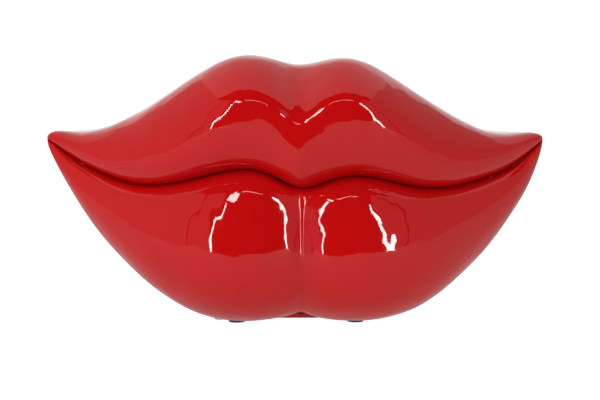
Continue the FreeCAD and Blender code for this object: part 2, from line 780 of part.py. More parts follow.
microphone = body("microphone_capsule")
disc(microphone, "sizes.mic_radius", "sizes.face_thick + sizes.boot_thick - sizes.mic_thick",
     "sizes.mic_thick")
tilted(microphone, "sizes.mic_x", "sizes.ear_v", "0")
node(microphone, "microphone_capsule")

weight = doc.addObject("Part::Box", "weight_blank")
weight.setExpression("Length", "sizes.weight_length")
weight.setExpression("Width", "sizes.weight_width")
weight.setExpression("Height", "sizes.weight_thick")
tilted(weight, "-sizes.weight_length / 2", "-sizes.weight_width / 2", "sizes.weight_level")
drills = []
screws = []
for side in (-1, 1):
    drill = plain_cylinder("weight_drill", "sizes.shank + sizes.screw_fit", "8")
    tilted(drill, f"{side} * sizes.weight_screw_x", "0", "sizes.weight_level - 2")
    drills.append(drill)
    item = screw("weight_screw", "sizes.weight_thick + 4.5")
    tilted(item, f"{side} * sizes.weight_screw_x", "0", "sizes.weight_level")
    screws.append(item)
node(drilled("weight", weight, drills), "handset_weight")
screw_group("handset_weight_screws", screws)


def jack(label, length, x, face_y, z, latch):
    """Modular socket, opening to the back."""
    item = body(label)
    block(item, length, "sizes.jack_height", "-sizes.jack_depth", "sizes.jack_depth")
    square_hole(item, f"{length} - 2 * sizes.jack_wall", "sizes.jack_height - 3 * sizes.jack_wall", "0",
                "sizes.jack_depth - 2")
    square_hole(item, latch, "sizes.jack_height - 2 * sizes.jack_wall", "0", "0.5 * sizes.jack_depth")
    upright(item, x, face_y, z, "-90")
    return node(item, label)


jack("handset_cord_jack", "sizes.cord_jack_length", "sizes.upper_jack_x", "sizes.upper_jack_face",
     "sizes.upper_jack_z", "sizes.cord_latch")

tone = body("tone_pulse_switch_body")
block(tone, "sizes.switch_length", "sizes.switch_depth", "sizes.face_thick + 1.3", "sizes.switch_thick")
tilted(tone, "sizes.tone_x", "sizes.tone_v", "0")
node(tone, "tone_pulse_switch_body")

knob = body("tone_pulse_slider")
block(knob, "sizes.knob_length", "sizes.knob_width", "-0.9", "sizes.face_thick + 1.5")
block(knob, "sizes.knob_foot_length", "sizes.knob_foot_width", "sizes.face_thick + 0.2",
      "sizes.knob_foot_thick")
tilted(knob, "sizes.tone_x", "sizes.tone_v", "0")
node(knob, "tone_pulse_slider")

# ---------------------------------------------------------------- base
lower_lip = lip_solid(lower_section, LOWER_STEPS, TIP)
ground = Part.makeBox(300, 200, 20, Vector(-150, -100, size["flat_bottom"] - 20))
lower_lip = lower_lip.cut(ground)
lower_cavity = lip_solid(lower_cavity_section, LOWER_STEPS, 98.0)
mouth = rim_prism(size["rim"], size["face_half"] + size["fit"], 40, 110)
mouth = mouth.common(slab(deck_top - size["deck_skirt"] - size["fit"], 60))
base = lower_lip.cut(lower_cavity).cut(mouth)


def rod(x, y, low, high, radius):
    return Part.makeCylinder(radius, high - low, Vector(x, y, low))


columns = []
plate_top = size["plate_bottom"] + size["plate_thick"] + 0.05
plate_screw_x = size["plate_length"] / 2 - size["plate_screw_inset_x"]
plate_screw_y = size["plate_width"] / 2 - size["plate_screw_inset_y"]
for x, y in numbers(DECK_SCREWS):
    columns.append(rod(x, y, 0, 100, size["boss"]).common(slab(-80, deck_under)))
board_level = size["base_board_level"]
for side, end in SIGNS:
    y = size["base_board_y"] + end * size["base_post_reach"]
    columns.append(rod(side * size["base_post_x"], y, 0, board_level, 3.0))
    y = size["plate_y"] + end * plate_screw_y
    columns.append(rod(side * plate_screw_x, y, plate_top, 12, size["boss"] + 1))
plate_fit = size["plate_fit"]
opening = Part.makeBox(size["plate_length"] + 2 * plate_fit, size["plate_width"] + 2 * plate_fit, 20)
opening.translate(Vector(-size["plate_length"] / 2 - plate_fit,
                         size["plate_y"] - size["plate_width"] / 2 - plate_fit, -7))
base = base.cut(opening).fuse([post.common(lower_lip) for post in columns])
bores = []
for x, y in numbers(DECK_SCREWS):
    v = (y - size["face_y"] + deck_top * sin(TILT)) / cos(TILT)
    bores.append(along(x, v, deck_under - 8, deck_under + 1, shank_bore))
for side, end in SIGNS:
    y = size["base_board_y"] + end * size["base_post_reach"]
    bores.append(rod(side * size["base_post_x"], y, board_level - 7, board_level + 1, shank_bore))
    bores.append(rod(side * plate_screw_x, size["plate_y"] + end * plate_screw_y, 0, 11.0, shank_bore))


def wall_window(x, z, length, height, depth=8.0):
    window = Part.makeBox(length, depth, height)
    return window.translate(Vector(x - length / 2, 37.5, z - height / 2))


window_height = size["jack_height"] + 2 * jack_fit
for name in ("line_jack", "cord_jack"):
    length = size[name + "_length"] + 2 * jack_fit
    bores.append(wall_window(size[name + "_x"], size["panel_z"], length, window_height))
slot_length = size["knob_slot"] + 2 * size["switch_throw"]
bores.append(wall_window(size["ringer_switch_x"], size["panel_z"], slot_length, size["knob_slot_width"]))
for ring, count in ((0, 1), (1, 6), (2, 12)):
    for i in range(count):
        turn = 2 * pi * (i + 0.25) / count
        x = size["ringer_x"] + ring * size["ringer_ring"] * cos(turn)
        z = size["ringer_z"] + ring * size["ringer_ring"] * sin(turn)
        bores.append(Part.makeCylinder(size["ringer_hole"], 9, Vector(x, 36, z), Vector(0, 1, 0)))
free_form("base_shell", base.cut(bores))

deck = rim_prism(size["rim"] + size["fit"], size["face_half"], 40, 110)
deck = deck.common(slab(deck_top - size["deck_skirt"], deck_top))
under = rim_prism(size["rim"] + size["fit"] + 2.0, size["face_half"] - 2.0, 30, 110)
deck = deck.cut(under.common(slab(-40, deck_under)))
cuts = [along(size["receiver_x"], size["ear_v"], deck_top - size["recess"], 0, size["receiver_recess"]),
        along(size["mic_x"], size["ear_v"], deck_top - size["recess"], 0, size["mic_recess"]),
        rod(size["hook_x"], size["hook_y"], 40, 100, size["plunger_radius"] + 0.4)]
for x, y in numbers(DECK_SCREWS):
    v = (y - size["face_y"] + deck_top * sin(TILT)) / cos(TILT)
    cuts.append(along(x, v, deck_top - size["head_thick"], 0, head_bore))
    cuts.append(along(x, v, deck_under - 1, 0, shank_bore))
free_form("cradle_deck", deck.cut(cuts))

screws = []
for x, y in DECK_SCREWS:
    item = body("deck_screw")
    head = disc(item, "sizes.head", "-sizes.head_thick", "sizes.head_thick")
    round_off(item, head, lies_at(0), "0.4 * sizes.head_thick")
    disc(item, "sizes.shank", "-9.2", "9.2 - sizes.head_thick")
    level = "-sizes.deck_drop"
    v = f"({y} - sizes.face_y - sizes.deck_drop * sin(sizes.tilt)) / cos(sizes.tilt)"
    tilted(item, x, v, level)
    screws.append(item)
screw_group("deck_screws", screws)

switch = body("hook_switch_body")
block(switch, "sizes.hook_length", "sizes.hook_width", "sizes.hook_floor", "sizes.hook_top - sizes.hook_floor")
round_hole(switch, "sizes.chamber_radius", "sizes.hook_top", "sizes.hook_top - sizes.chamber_floor")
upright(switch, "sizes.hook_x", "sizes.hook_y", "0")
node(switch, "hook_switch_body")

plunger = body("hook_plunger")
stem = disc(plunger, "sizes.plunger_radius", "sizes.chamber_floor + 2.5",
            "sizes.plunger_top - sizes.chamber_floor - 2.5")
round_off(plunger, stem, lies_at(size["plunger_top"]), "0.5 * sizes.plunger_radius")
disc(plunger, "sizes.collar_radius", "sizes.collar_level", "sizes.collar_thick")
upright(plunger, "sizes.hook_x", "sizes.hook_y", "0")
node(plunger, "hook_plunger")

spring_height = size["collar_level"] - size["chamber_floor"] - 2 * size["spring_wire"] - 0.1
coil = Part.makeHelix(spring_height / size["spring_turns"], spring_height, size["spring_radius"])
section = Part.Wire(Part.makeCircle(size["spring_wire"], Vector(size["spring_radius"], 0, 0), Vector(0, 1, 0)))
spring_shape = Part.Wire(coil).makePipeShell([section], True, True)
spring = doc.addObject("Part::Feature", "hook_spring")
spring.Shape = spring_shape
spring_foot = Vector(size["hook_x"], size["hook_y"], size["chamber_floor"] + size["spring_wire"])
spring.Placement = Placement(spring_foot, Rotation())
node(spring, "hook_spring")

board = doc.addObject("Part::Box", "base_board_blank")
board.setExpression("Length", "sizes.base_board_length")
board.setExpression("Width", "sizes.base_board_width")
board.setExpression("Height", "sizes.board_thick")
upright(board, "-sizes.base_board_length / 2", "sizes.base_board_y - sizes.base_board_width / 2",
        "sizes.base_board_level")
drills = []
screws = []
for side, end in SIGNS:
    x = f"{side} * sizes.base_post_x"
    y = f"sizes.base_board_y + {end} * sizes.base_post_reach"
    drill = plain_cylinder("base_board_drill", "sizes.shank + sizes.screw_fit", "6")
    upright(drill, x, y, "sizes.base_board_level - 2")
    drills.append(drill)
    item = body("board_screw")
    disc(item, "sizes.head", "sizes.board_thick", "sizes.head_thick")
    disc(item, "sizes.shank", "-6.5", "6.5 + sizes.board_thick")
    upright(item, x, y, "sizes.base_board_level")
    screws.append(item)
node(drilled("base_board", board, drills), "base_circuit_board")
screw_group("board_screws", screws)

top = "sizes.base_board_level + sizes.board_thick"
chip = doc.addObject("Part::Box", "speech_chip")
transformer = doc.addObject("Part::Box", "line_transformer")
ring_chip = doc.addObject("Part::Box", "ring_chip")
for item, extents, place in ((chip, ("18", "8", "3"), ("-6", "6")),
                             (transformer, ("13", "13", "11"), ("-26", "-4")),
                             (ring_chip, ("10", "7", "3"), ("16", "12"))):
    item.setExpression("Length", extents[0])
    item.setExpression("Width", extents[1])
    item.setExpression("Height", extents[2])
    upright(item, place[0], place[1], top)
cans = []
for x, y, radius, height in (("2", "-6", "3.2", "9"), ("11", "-7", "3.2", "9"), ("20", "-5", "4", "11")):
    can = plain_cylinder("capacitor", radius, height)
    upright(can, x, y, top)
    cans.append(can)
screw_group("board_components", [chip, transformer, ring_chip] + cans)

housing = body("ringer_housing")
disc(housing, "sizes.ringer_radius", "-sizes.ringer_depth", "sizes.ringer_depth")
round_hole(housing, "sizes.ringer_radius - sizes.ringer_wall", "0", "sizes.ringer_depth - sizes.ringer_wall")
upright(housing, "sizes.ringer_x", "sizes.ringer_back", "sizes.ringer_z", "-90")
node(housing, "ringer_housing")

sounder = body("ringer_disc")
disc(sounder, "sizes.disc_radius", "sizes.ringer_wall - sizes.ringer_depth", "sizes.disc_thick")
upright(sounder, "sizes.ringer_x", "sizes.ringer_back", "sizes.ringer_z", "-90")
node(sounder, "ringer_disc")

jack("line_jack", "sizes.line_jack_length", "sizes.line_jack_x", "sizes.jack_face", "sizes.panel_z",
     "sizes.line_latch")
jack("handset_jack", "sizes.cord_jack_length", "sizes.cord_jack_x", "sizes.jack_face", "sizes.panel_z",
     "sizes.cord_latch")

ringer_switch = body("ringer_switch_body")
block(ringer_switch, "sizes.switch_length", "sizes.switch_depth + 1", "-8.2", "sizes.switch_thick")
upright(ringer_switch, "sizes.ringer_switch_x", "sizes.jack_face", "sizes.panel_z", "-90")
node(ringer_switch, "ringer_switch_body")

slider = body("ringer_switch_slider")
block(slider, "sizes.knob_length", "sizes.knob_width", "-3", "5")
block(slider, "sizes.knob_foot_length", "sizes.knob_foot_width", "-3", "sizes.knob_foot_thick")
upright(slider, "sizes.ringer_switch_x", "sizes.jack_face", "sizes.panel_z", "-90")
node(slider, "ringer_switch_slider")

# ---------------------------------------------------------------- bottom
plate_blank = doc.addObject("Part::Box", "plate_blank")
plate_blank.setExpression("Length", "sizes.plate_length")
plate_blank.setExpression("Width", "sizes.plate_width")
plate_blank.setExpression("Height", "sizes.plate_thick")
upright(plate_blank, "-sizes.plate_length / 2", "sizes.plate_y - sizes.plate_width / 2", "sizes.plate_bottom")
drills = []
screws = []
feet = []
for side, end in SIGNS:
    x = f"{side} * (sizes.plate_length / 2 - sizes.plate_screw_inset_x)"
    y = f"sizes.plate_y + {end} * (sizes.plate_width / 2 - sizes.plate_screw_inset_y)"
    drill = plain_cylinder("plate_drill", "sizes.shank + sizes.screw_fit", "6")
    upright(drill, x, y, "0")
    drills.append(drill)
    item = body("bottom_screw")
    disc(item, "sizes.head", "-0.8 * sizes.head_thick", "0.8 * sizes.head_thick")
    disc(item, "sizes.shank", "0", "sizes.plate_thick + 6.5")
    upright(item, x, y, "sizes.plate_bottom")
    screws.append(item)
    foot = body("foot")
    pad = disc(foot, "sizes.foot_radius", "0", "sizes.plate_bottom")
    round_off(foot, pad, lies_at(0), "0.3")
    upright(foot, f"{side} * sizes.foot_x", f"sizes.plate_y + {end} * sizes.foot_reach", "0")
    feet.append(foot)
node(drilled("bottom", plate_blank, drills), "bottom_plate")
screw_group("bottom_screws", screws)
screw_group("rubber_feet", feet)

ballast = doc.addObject("Part::Box", "ballast_weight")
ballast.setExpression("Length", "sizes.ballast_length")
ballast.setExpression("Width", "sizes.ballast_width")
ballast.setExpression("Height", "sizes.ballast_thick")
upright(ballast, "-sizes.ballast_length / 2", "sizes.plate_y - sizes.ballast_width / 2",
        "sizes.plate_bottom + sizes.plate_thick")
node(ballast, "ballast_weight")

# ---------------------------------------------------------------- check and export
doc.recompute()
for item in doc.Objects:
    if "Invalid" in item.State or "Error" in item.State:
        raise RuntimeError(f"{item.Name} failed: {item.State}")
for item in nodes:
    if item.Shape.isNull() or not item.Shape.isValid():
        raise RuntimeError(f"{item.Label} has no valid shape")
for item in nodes:
    item.Shape.exportStep(f"parts/{item.Label}.step")
    print(f"{item.Label:24s} {len(item.Shape.Solids):2d} solids {item.Shape.Volume / 1000:8.2f} cm3")
print(len(nodes), "nodes")
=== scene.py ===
# %% [markdown]
# # Lips telephone
# A novelty telephone shaped like a pair of closed lips. The upper lip is the handset and
# lifts off; the lower lip is the base. Both are glossy red moulded shells.
#
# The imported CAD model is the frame: it says where everything is and how it moves. This
# lesson gives it a finished surface. It rebuilds the pieces that show, and puts materials
# on the ones that stay.

# %% Load the frame
import json
from math import asin, cos, exp, pi, radians, sin, sqrt
import bpy
from mathutils import Matrix, Quaternion, Vector

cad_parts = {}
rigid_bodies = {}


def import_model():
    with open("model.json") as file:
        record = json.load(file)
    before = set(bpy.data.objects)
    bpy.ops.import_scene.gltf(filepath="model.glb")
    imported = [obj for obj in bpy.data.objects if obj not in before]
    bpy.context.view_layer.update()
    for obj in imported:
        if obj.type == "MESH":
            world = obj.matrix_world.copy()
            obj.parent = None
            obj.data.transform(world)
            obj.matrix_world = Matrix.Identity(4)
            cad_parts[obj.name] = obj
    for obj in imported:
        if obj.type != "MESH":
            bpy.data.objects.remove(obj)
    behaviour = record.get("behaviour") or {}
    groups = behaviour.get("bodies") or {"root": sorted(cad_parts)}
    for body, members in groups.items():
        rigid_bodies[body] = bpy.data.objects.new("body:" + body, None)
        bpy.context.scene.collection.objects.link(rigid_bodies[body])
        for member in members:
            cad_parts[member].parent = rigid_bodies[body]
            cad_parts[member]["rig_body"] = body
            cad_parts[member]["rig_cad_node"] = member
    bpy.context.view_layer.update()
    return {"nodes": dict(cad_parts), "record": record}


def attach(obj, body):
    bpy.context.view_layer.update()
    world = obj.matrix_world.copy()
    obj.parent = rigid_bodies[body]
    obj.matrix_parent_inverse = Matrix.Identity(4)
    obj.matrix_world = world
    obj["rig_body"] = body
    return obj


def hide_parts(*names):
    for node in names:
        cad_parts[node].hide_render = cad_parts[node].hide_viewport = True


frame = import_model()
print("CAD nodes:", len(frame["nodes"]))

# %% [markdown]
# # Camera
# A long lens looks at the front from a little above, so that the lips stand almost square
# to the view and only a narrow band of their tops shows. A long lens from far off also
# keeps the two corners of the mouth from looking smaller than the middle. A small shift
# of the lens places the lips in the frame without turning the camera.

# %% Camera
DISTANCE = 0.9
AIM = Vector((0.0, 0.0, 0.057))
YAW = radians(-1.0)
ELEVATION = radians(5.0)
SENSOR = 36.0
LENS = 123.06
SHIFT_X = 0.0067
SHIFT_Y = -0.0143
camera = bpy.data.objects.new("camera", bpy.data.cameras.new("camera"))
bpy.context.scene.collection.objects.link(camera)
toward = Vector((sin(YAW) * cos(ELEVATION), -cos(YAW) * cos(ELEVATION), sin(ELEVATION)))
camera.location = AIM + toward * DISTANCE
camera.rotation_mode = "QUATERNION"
camera.rotation_quaternion = toward.to_track_quat("Z", "Y")
camera.data.sensor_width = SENSOR
camera.data.lens = LENS
camera.data.shift_x = SHIFT_X
camera.data.shift_y = SHIFT_Y
bpy.context.scene.camera = camera
bpy.context.scene.view_settings.view_transform = "Standard"
print("camera stands at", [round(value, 3) for value in camera.location])

# %% [markdown]
# # Helpers for modelling
# Every new piece is made from a primitive and shaped in edit mode. An operator acts on all
# that is selected, so each helper first selects the one object that it works on. The
# others name an object, apply its place or its modifiers to its mesh, cut holes, round
# edges, and hand a finished piece to the frame.
#
# The face plate under the handset is tilted, so it has a frame of its own: FACE is its
# origin, NORMAL points up through it, and SLOPE runs up it towards the back.

# %% Helpers for modelling
MM = 0.001
MERGE = 2e-6
TILT = radians(12.0)
NORMAL = Vector((0.0, -sin(TILT), cos(TILT)))
SLOPE = Vector((0.0, cos(TILT), sin(TILT)))
FACE = Vector((0.0, 7.0, 73.9))


def choose(*items):
    """Selects these objects alone; the first is the active one."""
    bpy.ops.object.select_all(action="DESELECT")
    for item in items:
        item.select_set(True)
    bpy.context.view_layer.objects.active = items[0]


def edit(item, *steps):
    """Runs edit-mode steps on everything in the object."""
    choose(item)
    bpy.ops.object.mode_set(mode="EDIT")
    bpy.ops.mesh.select_all(action="SELECT")
    for step in steps:
        step()
    bpy.ops.object.mode_set(mode="OBJECT")


def named(name):
    item = bpy.context.object
    item.name = name
    item.data.name = name
    return item


def settle(item):
    """Puts the object's place and turn into its mesh."""
    choose(item)
    bpy.ops.object.transform_apply(location=True, rotation=True, scale=True)
    return item


def smooth(item, degrees=35.0):
    choose(item)
    bpy.ops.object.shade_smooth_by_angle(angle=radians(degrees))
    return item


def finish_modifiers(item):
    choose(item)
    for modifier in list(item.modifiers):
        bpy.ops.object.modifier_apply(modifier=modifier.name)
    return item


def round_edges(item, radius, segments, method="ANGLE", degrees=30.0):
    """Gives edges a radius in millimetres: those sharper than an angle, or those with a weight."""
    modifier = item.modifiers.new("edges", "BEVEL")
    modifier.width = radius * MM
    modifier.segments = segments
    modifier.limit_method = method
    modifier.angle_limit = radians(degrees)
    return finish_modifiers(item)


def box(name, low, high):
    """A box between two corners, in millimetres."""
    middle = (Vector(low) + Vector(high)) / 2 * MM
    bpy.ops.mesh.primitive_cube_add(size=1.0, location=middle)
    item = named(name)
    item.scale = (Vector(high) - Vector(low)) * MM
    return settle(item)


def rod(name, radius, length, corners=32):
    """A cylinder that stands on the origin, in millimetres."""
    bpy.ops.mesh.primitive_cylinder_add(vertices=corners, radius=radius * MM, depth=length * MM,
                                        location=(0, 0, length * MM / 2))
    return settle(named(name))


def join(name, items):
    choose(*items)
    if len(items) > 1:
        bpy.ops.object.join()
    return named(name)


def cut(item, tool):
    """Takes the tool's shape out of the object and throws the tool away."""
    modifier = item.modifiers.new("cut", "BOOLEAN")
    modifier.operation = "DIFFERENCE"
    modifier.solver = "EXACT"
    modifier.object = tool
    finish_modifiers(item)
    bpy.data.objects.remove(tool)
    return item


def on_face(x, v, w):
    """A point in the face plate's own frame, in metres: across, up its slope, along its normal."""
    return (FACE + Vector((x, 0, 0)) + SLOPE * v + NORMAL * w) * MM


def copied(item, name, place):
    """A copy with its own mesh, moved by the matrix."""
    twin = item.copy()
    twin.data = item.data.copy()
    twin.name = name
    twin.data.name = name
    bpy.context.scene.collection.objects.link(twin)
    twin.data.transform(place)
    return twin


def hand_over(item, body, slot, finish, *nodes):
    """Gives a finished piece its material and its body, and hides the CAD nodes it stands for. The slot is
    not used.
    """
    item.data.materials.clear()
    item.data.materials.append(finish.material)
    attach(item, body)
    for node in nodes:
        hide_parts(node)
    print(item.name, len(item.data.polygons), "faces on", body)
    return item


# %% [markdown]
# # Materials
# Every material is made of nodes that work in space, with no pictures, so a pattern goes
# through a piece without seams and needs no unwrapping. Shade wraps one output socket, so
# that sums and products of sockets read as arithmetic.

# %% Sockets as arithmetic
class Shade:
    """An output socket that can be added, subtracted, multiplied and divided."""

    def __init__(self, tree, socket):
        self.tree = tree
        self.socket = socket

    def feed(self, target):
        self.tree.links.new(self.socket, target)

    def reckon(self, operation, first, second):
        node = self.tree.nodes.new("ShaderNodeMath")
        node.operation = operation
        for i, item in enumerate((first, second)):
            if isinstance(item, Shade):
                item.feed(node.inputs[i])
            else:
                node.inputs[i].default_value = item
        return Shade(self.tree, node.outputs[0])

    def __add__(self, other):
        return self.reckon("ADD", self, other)

    def __radd__(self, other):
        return self.reckon("ADD", other, self)

    def __sub__(self, other):
        return self.reckon("SUBTRACT", self, other)

    def __rsub__(self, other):
        return self.reckon("SUBTRACT", other, self)

    def __mul__(self, other):
        return self.reckon("MULTIPLY", self, other)

    def __rmul__(self, other):
        return self.reckon("MULTIPLY", other, self)

    def __truediv__(self, other):
        return self.reckon("DIVIDE", self, other)

    def __rtruediv__(self, other):
        return self.reckon("DIVIDE", other, self)


# %% [markdown]
# Finish is one material. Its add method makes any node and returns its output, and its
# drive method links outputs to the shader. What is the same all over the surface is set on
# the shader itself. What varies feeds its colour, its roughness or its relief.

# %% A material
class Finish:
    """A material whose main shader takes constants or sockets."""

    def __init__(self, name, **constants):
        self.material = bpy.data.materials.new(name)
        self.material.use_nodes = True
        self.tree = self.material.node_tree
        self.shader = self.tree.nodes["Principled BSDF"]
        for key, value in constants.items():
            self.shader.inputs[key.replace("_", " ")].default_value = value
        self.place = self.add("ShaderNodeTexCoord", output="Object")

    def add(self, kind, settings=(), inputs=(), output=0):
        """Any node: its settings, what its sockets take, and which output comes back."""
        node = self.tree.nodes.new(kind)
        for key, value in dict(settings).items():
            setattr(node, key, value)
        for key, value in dict(inputs).items():
            if isinstance(value, Shade):
                value.feed(node.inputs[key])
            else:
                node.inputs[key].default_value = value
        return Shade(self.tree, node.outputs[output])

    def grain(self, scale, detail=2.0):
        """Noise from 0 to 1, with about this many spots to the metre."""
        return self.add("ShaderNodeTexNoise",
                        inputs={"Vector": self.place, "Scale": scale, "Detail": detail})

    def between(self, first, second, share):
        """A colour between two colours."""
        return self.add("ShaderNodeMix", {"data_type": "RGBA"},
                        {0: share, 6: (*first, 1), 7: (*second, 1)}, 2)

    def drive(self, **sockets):
        for key, value in sockets.items():
            value.feed(self.shader.inputs[key.replace("_", " ")])
        return self

    def bump(self, height, strength, distance):
        """Surface relief, its distance in metres."""
        relief = self.add("ShaderNodeBump",
                          inputs={"Height": height, "Strength": strength, "Distance": distance})
        return self.drive(Normal=relief)


def plain(name, colour, roughness, scale=400.0, metallic=0.0, spread=0.12, relief=0.0):
    """A material whose colour and roughness vary a little, with fine relief if asked for."""
    finish = Finish(name, Metallic=metallic)
    spots = finish.grain(scale)
    darker = [part * (1 - spread) for part in colour]
    finish.drive(Base_Color=finish.between(darker, colour, spots),
                 Roughness=roughness + 0.08 * finish.grain(scale / 3))
    if relief:
        finish.bump(spots, 0.3, relief)
    return finish


# %% [markdown]
# The lips are sprayed with a deep red lacquer. It is nearly a mirror, but the coat isn't
# flat: it has slow waves about 30 mm long, which make the edges of the reflections wander.
# They are given as relief, so the outline of the lips stays clean. The other finishes are
# plastics, rubber, zinc-plated steel, brass and a green circuit board.

# %% Colours and surfaces
DEEP_RED = (0.53, 0.0030, 0.0034)
BRIGHT_RED = (0.58, 0.0040, 0.0046)
lacquer = Finish("lip_lacquer", IOR=1.5)
waves = lacquer.grain(34.0, 2.5)
lacquer.drive(Base_Color=lacquer.between(DEEP_RED, BRIGHT_RED, lacquer.grain(18.0)),
              Roughness=0.03 + 0.03 * lacquer.grain(60.0))
lacquer.bump(waves, 0.50, 0.004)
satin = plain("red_satin", (0.50, 0.012, 0.018), 0.36, 900.0, relief=0.00002)
ivory = plain("key_cap", (0.86, 0.83, 0.76), 0.30, 300.0, spread=0.04)
ink = plain("key_ink", (0.03, 0.03, 0.035), 0.45, spread=0.1)
rubber = plain("rubber", (0.03, 0.03, 0.03), 0.70, 1500.0, relief=0.00003)
board_green = plain("board", (0.02, 0.16, 0.06), 0.35, 250.0, spread=0.35)
zinc = plain("zinc_steel", (0.66, 0.66, 0.64), 0.26, 700.0, metallic=1.0)
black = plain("black_plastic", (0.030, 0.030, 0.034), 0.32, 800.0, relief=0.00002)
brass = plain("brass", (0.80, 0.60, 0.25), 0.24, 500.0, metallic=1.0)
FINISHES = {"lip_gloss": lacquer, "red_satin": satin, "key_cap": ivory, "rubber": rubber,
            "board": board_green, "steel": zinc, "black_plastic": black, "brass": brass}
for part in frame["record"]["subparts"]:
    mesh = frame["nodes"][part["node"]].data
    mesh.materials.clear()
    mesh.materials.append(FINISHES[part["material_slot"]].material)

# %% [markdown]
# # Outlines of the lips
# Lips have no flat or round faces to start from. They could be sculpted, but then they
# would not fit the parts inside. Here each lip is a row of cross-sections: a few outlines
# say how high the crest, the mouth line and the belly run from corner to corner and how far
# forward each lip stands, and a smooth curve joins them. All of these are the telephone's
# own measures in millimetres. Z is a height, Y is a depth, and the front is at negative Y.
# An outline that starts at zero is the same on both sides.

# %% Outlines of the lips
HALF = 110.0
SEAM_GAP = 0.35
CREST_Z = [(-110, 80.0), (-105, 83.0), (-94, 82.6), (-82, 85.4), (-69, 91.6), (-55, 100.5), (-41, 109.8),
           (-31, 115.0), (-20, 117.1), (-9, 115.1), (1, 112.9), (9, 114.1), (20, 115.9), (31, 113.4),
           (42, 107.1), (55, 98.7), (69, 90.2), (82, 84.0), (94, 81.8), (105, 82.0), (110, 79.4)]
MOUTH_Z = [(-110, 80.0), (-105, 76.0), (-95, 69.6), (-82, 64.0), (-68, 60.8), (-52, 62.2), (-38, 65.8),
           (-25, 68.4), (-14, 67.2), (-6, 63.4), (1, 60.6), (7, 61.4), (15, 64.0), (26, 65.6), (38, 63.6),
           (52, 60.2), (66, 59.6), (80, 62.0), (94, 66.6), (105, 74.2), (110, 79.4)]
BELLY_Z = [(-110, 80.0), (-108, 72.6), (-103, 62.6), (-95, 49.3), (-86, 37.0), (-75, 25.3), (-64, 15.7),
           (-54, 9.1), (-44, 4.4), (-34, 1.8), (-24, 0.8), (-14, 1.2), (1, 2.2), (14, 1.2), (24, 0.8),
           (34, 1.2), (44, 3.0), (54, 6.4), (64, 12.4), (75, 21.4), (86, 32.4), (95, 44.2), (103, 57.0),
           (108, 69.4), (110, 79.4)]
UPPER_FRONT_Z = [(0, 82.0), (5, 84.8), (12, 89.4), (22, 91.5), (34, 88.0), (48, 80.0), (62, 73.5),
                 (78, 71.0), (94, 74.4), (105, 78.4), (110, 79.7)]
LOWER_FRONT_Z = [(0, 31.0), (20, 31.5), (36, 32.3), (50, 35.0), (64, 39.5), (78, 46.5), (93, 56.2),
                 (104, 68.0), (110, 79.7)]
UPPER_FRONT_Y = [(0, -43.5), (12, -44.0), (26, -43.6), (42, -38.4), (58, -29.4), (74, -18.0), (88, -6.6),
                 (100, 3.4), (107, 9.2), (110, 13.0)]
LOWER_FRONT_Y = [(0, -42.0), (12, -42.4), (26, -42.0), (42, -37.4), (58, -28.6), (74, -17.2), (88, -5.8),
                 (100, 4.0), (107, 9.6), (110, 13.0)]
GROOVE_Y = [(0, -29.0), (12, -28.6), (26, -27.0), (42, -22.6), (58, -15.6), (74, -6.4), (88, 2.4),
            (100, 9.0), (107, 11.8), (110, 13.0)]
CREST_Y = [(0, -13.0), (20, -13.0), (42, -10.0), (60, -4.0), (78, 4.0), (92, 10.0), (104, 13.0),
           (110, 13.0)]
BACK_Y = [(0, 44.0), (30, 43.6), (56, 41.6), (76, 37.6), (90, 32.0), (101, 24.8), (107, 18.6), (110, 13.0)]
BACK_Z = [(-110, 80.0), (-104, 81.2), (-92, 82.2), (-78, 82.0), (-50, 81.0), (0, 81.0), (50, 81.0),
          (78, 81.6), (92, 81.3), (104, 80.5), (110, 79.4)]

# %% [markdown]
# A natural cubic spline goes through every point of an outline and bends as little as it
# can. It is taken over an angle instead of over the width, so that the lips close round at
# the corners.

# %% Smooth curves through the outlines
def spline(knots, values):
    """Natural cubic spline through the values, as a function."""
    count = len(knots)
    gaps = [knots[i + 1] - knots[i] for i in range(count - 1)]
    lower = [0.0] * count
    middle = [1.0] * count
    upper = [0.0] * count
    right = [0.0] * count
    for i in range(1, count - 1):
        lower[i] = gaps[i - 1]
        middle[i] = 2 * (gaps[i - 1] + gaps[i])
        upper[i] = gaps[i]
        right[i] = 6 * ((values[i + 1] - values[i]) / gaps[i] - (values[i] - values[i - 1]) / gaps[i - 1])
    for i in range(1, count):
        factor = lower[i] / middle[i - 1]
        middle[i] -= factor * upper[i - 1]
        right[i] -= factor * right[i - 1]
    bend = [0.0] * count
    bend[-1] = right[-1] / middle[-1]
    for i in range(count - 2, -1, -1):
        bend[i] = (right[i] - upper[i] * bend[i + 1]) / middle[i]

    def at(place):
        i = 0
        while i < count - 2 and place > knots[i + 1]:
            i += 1
        a = (knots[i + 1] - place) / gaps[i]
        b = 1 - a
        cubic = (a ** 3 - a) * bend[i] + (b ** 3 - b) * bend[i + 1]
        return a * values[i] + b * values[i + 1] + cubic * gaps[i] ** 2 / 6

    return at


def outline(points):
    """Spline of an outline over the angle asin(x / half width), so that the corners end round."""
    if points[0][0] == 0:
        points = [(-x, value) for x, value in points[:0:-1]] + points
    angles = [asin(max(-1.0, min(1.0, x / HALF))) for x, value in points]
    return spline(angles, [value for x, value in points])


crest_z = outline(CREST_Z)
mouth_z = outline(MOUTH_Z)
belly_z = outline(BELLY_Z)
upper_front_z = outline(UPPER_FRONT_Z)
lower_front_z = outline(LOWER_FRONT_Z)
upper_front_y = outline(UPPER_FRONT_Y)
lower_front_y = outline(LOWER_FRONT_Y)
groove_y = outline(GROOVE_Y)
crest_y = outline(CREST_Y)
back_y = outline(BACK_Y)
back_z = outline(BACK_Z)
print("crest", round(crest_z(asin(-20.0 / HALF)), 1), "mm high, mouth", round(mouth_z(0.0), 1), "mm high")

